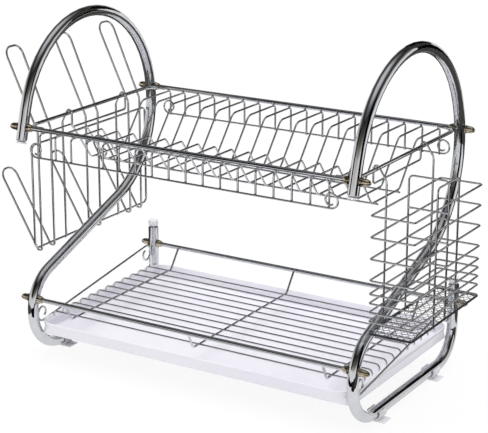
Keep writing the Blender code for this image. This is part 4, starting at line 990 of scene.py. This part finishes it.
TIE_INNER_X = BASKET_INNER_X + BASKET_RADIUS * 2 - SINK
TIE_OUTER_X = BASKET_OUTER_X - BASKET_RADIUS * 2 + SINK


def arch_path(first, second, rise):
    low = BASKET_FLOOR + TOUCH
    high = BASKET_TOP + rise
    places = ((*first, low), (*first, high), (*second, high), (*second, low))
    return bend([Vector(place) for place in places], [ARCH_CORNER] * 2)


basket = bmesh.new()
tie_places = [(TIE_INNER_X - BASKET_RADIUS, y) for y in (*BASKET_HOOK_YS, PARTITION_Y)]
tie_places += [(TIE_OUTER_X + BASKET_RADIUS, y) for y in (*OUTER_ARCH_YS, PARTITION_Y)]
for drop in RING_DROPS:
    z = BASKET_TOP - drop
    corners = rectangle((BASKET_INNER_X, BASKET_OUTER_X), (BASKET_FRONT_Y, BASKET_REAR_Y), z)
    add_wire(basket, bend(corners, [BASKET_CORNER] * 4, closed=True), BASKET_RADIUS, closed=True)
    for x, y in tie_places:
        add_pad(basket, Vector((x, y, z)), pad_size(BASKET_RADIUS, 0))
partition_feet = [(x, PARTITION_Y) for x in (TIE_INNER_X, TIE_OUTER_X)]
outer_feet = [(TIE_OUTER_X, y) for y in OUTER_ARCH_YS]
ties = [hook_path(1, TIE_INNER_X, BASKET_FLOOR + TOUCH, BASKET_HOOK_YS, BASKET_RADIUS),
        arch_path(*partition_feet, PARTITION_RISE), arch_path(*outer_feet, OUTER_ARCH_RISE)]
for tie in ties:
    add_wire(basket, tie, BASKET_RADIUS)
for drop in BAR_DROPS:
    bar = [Vector((x, PARTITION_Y, BASKET_TOP - drop)) for x in (TIE_INNER_X, TIE_OUTER_X)]
    add_wire(basket, bar, BASKET_RADIUS)
finish_piece("basket_wires", basket, wire_chrome, "cutlery_basket", ["cutlery_basket_wires"])

# %% [markdown]
# The basket's floor is expanded metal: a sheet slit and pulled into diamonds, held in a
# folded rim. A grid gets a point in the middle of each cell, the old edges between the
# cells are dissolved, and what is left is a net of diamonds, which Blender's wireframe
# operator turns into strands.
# %% Basket floor
FLOOR_SHEET = 1.0 * MM
RIM_HEIGHT = 2.8 * MM
RIM_WALL = 1.2 * MM
RIM_FLANGE = 2.2 * MM
RIM_CHAMFER = 0.3 * MM
RIM_FLANGE_THICKNESS = 0.6 * MM
RIM_TOP_INSETS = (0.8 * MM, 0.4 * MM)
DIAMOND_X = 6.8 * MM
DIAMOND_Y = 10.0 * MM
STRAND = 0.7 * MM
STRAND_TILT = 1.0 * MM


def floor_ends(inset):
    """Left, right, front and rear of the floor, an inset inside the wires' outer faces."""
    grow = BASKET_RADIUS - inset
    return ((BASKET_INNER_X - grow, BASKET_OUTER_X + grow), (BASKET_FRONT_Y - grow, BASKET_REAR_Y + grow))


(inner_x, outer_x), (front_y, rear_y) = floor_ends(RIM_WALL / 2)
cells_x = round((outer_x - inner_x) / DIAMOND_X)
cells_y = round((rear_y - front_y) / DIAMOND_Y)
mesh_floor = bmesh.new()
middle = Vector(((inner_x + outer_x) / 2, (front_y + rear_y) / 2, BASKET_FLOOR - FLOOR_SHEET / 2))
spread_out = Matrix.Translation(middle) @ Matrix.Diagonal((outer_x - inner_x, rear_y - front_y, 1.0, 1.0))
bmesh.ops.create_grid(mesh_floor, x_segments=cells_x, y_segments=cells_y, size=0.5, matrix=spread_out)
old_edges = [edge for edge in mesh_floor.edges if len(edge.link_faces) == 2]
poked = bmesh.ops.poke(mesh_floor, faces=mesh_floor.faces)
bmesh.ops.translate(mesh_floor, verts=poked["verts"], vec=(0.0, 0.0, STRAND_TILT))
bmesh.ops.dissolve_edges(mesh_floor, edges=old_edges, use_verts=False)
bmesh.ops.wireframe(mesh_floor, faces=mesh_floor.faces, thickness=STRAND, use_replace=True,
                    use_even_offset=True, use_boundary=True)
finish_piece("basket_floor_net", mesh_floor, mesh_chrome, "cutlery_basket",
             ["cutlery_basket_floor"])

rim = bmesh.new()
low = BASKET_FLOOR - FLOOR_SHEET
top = low + RIM_HEIGHT
edge = RIM_CHAMFER
fold_levels = ((0.0, low + edge), (edge, low), (RIM_FLANGE, low), (RIM_FLANGE, low + edge),
               (RIM_WALL, low + RIM_FLANGE_THICKNESS), (RIM_WALL, top - edge),
               *((inset, top) for inset in RIM_TOP_INSETS), (0.0, top - edge))
rim_rings = []
for inset, z in fold_levels:
    corners = rectangle(*floor_ends(inset), z)
    points = bend(corners, [BASKET_CORNER + BASKET_RADIUS - inset] * 4, closed=True)
    rim_rings.append([rim.verts.new(point) for point in points])
for index, ring in enumerate(rim_rings):
    below = rim_rings[index - 1]
    for turn in range(len(ring)):
        rim.faces.new((below[turn - 1], below[turn], ring[turn], ring[turn - 1]))
finish_piece("basket_floor_rim", rim, rim_chrome, "cutlery_basket")

# %% [markdown]
# The studio is a wide white floor. Seen by the camera, in the chrome and through the
# plastic, most of its light is plain paper white, and the rest is lit, so that it keeps
# a pale shadow of the rack. On the rack itself it shines only as lit paper would.
# %% Floor
FLOOR_HALF = 40.0
FLOOR_COLOUR = "#E6E6E6"
WHITE = "#FFFFFF"
WHITE_SHARE = 0.92


def seen_directly(owner):
    """1 for rays from the camera, from a mirror or through clear material, else 0."""
    path = add_node(owner, "ShaderNodeLightPath")
    seen = path.outputs["Is Camera Ray"]
    for name in ("Is Glossy Ray", "Is Transmission Ray"):
        either = add_node(owner, "ShaderNodeMath", Value=seen)
        either.operation = "MAXIMUM"
        owner.node_tree.links.new(path.outputs[name], either.inputs[1])
        seen = either.outputs["Value"]
    return seen


def show_blend(owner, share, first, second, output):
    """Blend two shader nodes, at share 1 all second, into the output node."""
    tree = owner.node_tree
    both = add_node(owner, "ShaderNodeMixShader", Fac=share)
    tree.links.new(first.outputs[0], both.inputs[1])
    tree.links.new(second.outputs[0], both.inputs[2])
    fill(owner, tree.nodes[output], Surface=both.outputs["Shader"])


def dull_finish(name, shade):
    """Paper or card: one even colour and no gloss."""
    material, shader, place = start_finish(name)
    fill(material, shader, Base_Color=colour(shade), Roughness=1.0, Specular_IOR_Level=0.0)
    return material, shader


floor_finish, floor_shader = dull_finish("white studio floor", FLOOR_COLOUR)
paper = add_node(floor_finish, "ShaderNodeEmission", Color=colour(WHITE), Strength=1.0)
share = add_node(floor_finish, "ShaderNodeMath", Value=seen_directly(floor_finish))
share.operation = "MULTIPLY"
share.inputs[1].default_value = WHITE_SHARE
show_blend(floor_finish, share.outputs["Value"], floor_shader, paper, "Material Output")


def stage_sheet(name, corners, finish):
    """One flat face that belongs to the studio, not to the rack."""
    shape = bmesh.new()
    shape.faces.new([shape.verts.new(corner) for corner in corners])
    mesh = as_mesh(name, shape)
    mesh.materials.append(finish)
    sheet = add_object(name, mesh)
    return sheet


floor_span = (-FLOOR_HALF, FLOOR_HALF)
stage_sheet("studio_floor", rectangle(floor_span, floor_span, 0.0), floor_finish)
print("floor half width in m:", FLOOR_HALF)

# %% [markdown]
# Chrome shows its surroundings. The room is white along the horizon, falls through a
# warm grey to black halfway up and is light again overhead, like a white table in a dark
# studio with a pale ceiling. That gives the tubes their dark line between a light upper
# face and a light underside. Diffuse surfaces get an even light instead.
# %% World
ROOM = ((0.0, WHITE), (12.0, "#F4F2EE"), (19.0, "#A7A39C"), (26.0, "#6B6862"), (36.0, "#484742"),
        (47.0, "#2C2C2D"), (60.0, "#7C7E81"), (75.0, "#DADADA"))
EVEN_LIGHT = 0.62

world = bpy.data.worlds.new("studio")
world.use_nodes = True
bpy.context.scene.world = world
direction = add_node(world, "ShaderNodeTexCoord").outputs["Generated"]
split = add_node(world, "ShaderNodeSeparateXYZ", Vector=direction)
room = add_node(world, "ShaderNodeValToRGB", Fac=split.outputs["Z"])
stops = room.color_ramp.elements
for number, (elevation, shade) in enumerate(ROOM):
    place = math.sin(math.radians(elevation))
    stop = stops[number] if number < len(stops) else stops.new(place)
    stop.position = place
    stop.color = colour(shade)
even = fill(world, world.node_tree.nodes["Background"], Color=colour(WHITE), Strength=EVEN_LIGHT)
shown = add_node(world, "ShaderNodeBackground", Color=room.outputs["Color"])
show_blend(world, seen_directly(world), even, shown, "World Output")
print("room colours:", len(ROOM))

# %% [markdown]
# Wide suns stand for large soft boxes; the strongest hangs above and lights the tray.
# Each has an azimuth, an elevation, a strength and a disc. Chrome doesn't show them,
# since their boxes would cut hard patches into it. The dark lines down the bright tubes
# are painted reflections instead: dark cards round the table that only mirror rays see,
# hidden from the camera, from diffuse light and from shadows. Each card has the
# azimuths of its two edges and its lowest and highest height. One behind is grey. A grey
# ring on the floor paints a grey reflection on the tubes' undersides, and a small dark
# card before each nose paints a dark reflection into it. All are seen in the chrome alone.
# %% Lamps and cards for painted reflections
LAMPS = {
    "front_light": (15.0, 38.0, 0.12, 50.0),
    "left_light": (-70.0, 50.0, 0.12, 60.0),
    "back_light": (165.0, 60.0, 0.35, 60.0),
    "top_light": (0.0, 85.0, 2.4, 60.0),
}
# Colours of the painted reflections in the chrome: near black and a warm grey.
PAINTED_REFLECTION_DARK = "#0B0B0C"
PAINTED_REFLECTION_GREY = "#403F3B"
LAMP_DISTANCE = 2.0
CARD_DISTANCE = 0.8
PAINTED_REFLECTION_CARDS = {
    "painted_reflection_right": ((60.0, 90.0), (0.0, 1.0)),
    "painted_reflection_behind": ((163.0, 200.0), (0.5, 0.95)),
    "painted_reflection_low": ((138.0, 156.0), (0.18, 0.5)),
    "painted_reflection_left": ((318.0, 345.0), (0.25, 0.9)),
}
PAINTED_GREY_REFLECTION_CARD = ((138.0, 163.0), (0.5, 0.95))
PAINTED_REFLECTION_NOSE_CARD = ((0.10, 0.05), (0.50, 0.35))
PAINTED_REFLECTION_FLOOR_RING = ((0.37, 1.4), (38.0, 335.0), 16)
CAMERA_AZIMUTH = 31.5
QUARTER_TURN = 90.0
ABOVE_FLOOR = UPWARD * MM


def aim(azimuth):
    """A level direction; azimuth 0 points to the front."""
    return Vector((math.sin(math.radians(azimuth)), -math.cos(math.radians(azimuth)), 0.0))


for name, (azimuth, elevation, strength, disc) in LAMPS.items():
    data = bpy.data.lights.new(name, "SUN")
    data.energy = strength
    data.angle = math.radians(disc)
    lamp = add_object(name, data)
    rise = math.radians(elevation)
    towards = aim(azimuth) * math.cos(rise) + UPWARD * math.sin(rise)
    lamp.rotation_euler = towards.to_track_quat("Z", "Y").to_euler()
    lamp.location = towards * LAMP_DISTANCE
    lamp.visible_glossy = False

painted_dark_reflection_finish = dull_finish("painted dark reflection", PAINTED_REFLECTION_DARK)[0]
painted_grey_reflection_finish = dull_finish("painted grey reflection", PAINTED_REFLECTION_GREY)[0]


# A sheet that only mirror rays see, so it paints its colour into the chrome as a reflection.
def painted_reflection_sheet(name, corners, finish):
    card = stage_sheet(name, corners, finish)
    card.visible_camera = False
    card.visible_diffuse = False
    card.visible_shadow = False
    card.visible_transmission = False


def standing_painted_reflection(name, azimuths, heights, finish):
    left, right = [aim(azimuth) * CARD_DISTANCE for azimuth in azimuths]
    low, high = [UPWARD * height for height in heights]
    painted_reflection_sheet(name, [left + low, right + low, right + high, left + high], finish)


# The standing cards paint the dark lines reflected down the tubes.
for name, (azimuths, heights) in PAINTED_REFLECTION_CARDS.items():
    standing_painted_reflection(name, azimuths, heights, painted_dark_reflection_finish)
standing_painted_reflection("painted_grey_reflection", *PAINTED_GREY_REFLECTION_CARD, painted_grey_reflection_finish)
# A grey ring on the floor, seen in the chrome alone, paints a grey reflection on the tubes' undersides.
(near, far), (first, last), ring_parts = PAINTED_REFLECTION_FLOOR_RING
turns = [first + (last - first) * part / ring_parts for part in range(ring_parts + 1)]
outside = [aim(turn) * far + ABOVE_FLOOR for turn in turns]
inside = [aim(turn) * near + ABOVE_FLOOR for turn in reversed(turns)]
painted_reflection_sheet("painted_grey_floor_reflection", outside + inside, painted_grey_reflection_finish)
# A small dark card before each nose paints a dark reflection into the nose.
for side in (-1, 1):
    nose = PLACE + Vector((side * FRAME_X, NOSE_Y - NOSE_RADIUS, 0.0))
    nose.z = ABOVE_FLOOR.z
    ahead, aside = aim(CAMERA_AZIMUTH), aim(CAMERA_AZIMUTH + QUARTER_TURN)
    corners = [nose + ahead * reach + aside * half * turn for reach, half in PAINTED_REFLECTION_NOSE_CARD for turn in (-1, 1)]
    painted_reflection_sheet(f"painted_reflection_at_nose_{side}", [corners[0], corners[1], corners[3], corners[2]], painted_dark_reflection_finish)
print("lamps:", ", ".join(LAMPS))

# %% [markdown]
# The camera was solved on the photograph: it stands to the right of the middle and a
# little above, with a long lens, so the far frame is hardly smaller than the near one.
# %% Camera and colour management
CAMERA_PLACE = Vector((885.7, -1432.8, 689.3)) * MM + PLACE
CAMERA_TARGET = Vector((7.3, 0.0, 168.7)) * MM + PLACE
CAMERA_LENS = 120.25
SENSOR_WIDTH = 36.0
NEAREST_SEEN = 0.05
FARTHEST_SEEN = 200.0

camera_data = bpy.data.cameras.new("camera")
camera_data.lens = CAMERA_LENS
camera_data.sensor_width = SENSOR_WIDTH
camera_data.sensor_fit = "HORIZONTAL"
camera_data.clip_start = NEAREST_SEEN
camera_data.clip_end = FARTHEST_SEEN
camera = add_object("camera", camera_data)
camera.location = CAMERA_PLACE
camera.rotation_mode = "QUATERNION"
camera.rotation_quaternion = (CAMERA_TARGET - CAMERA_PLACE).to_track_quat("-Z", "Y")
bpy.context.scene.camera = camera
bpy.context.scene.view_settings.view_transform = "Standard"
print("camera distance in m:", round((CAMERA_TARGET - CAMERA_PLACE).length, 3))
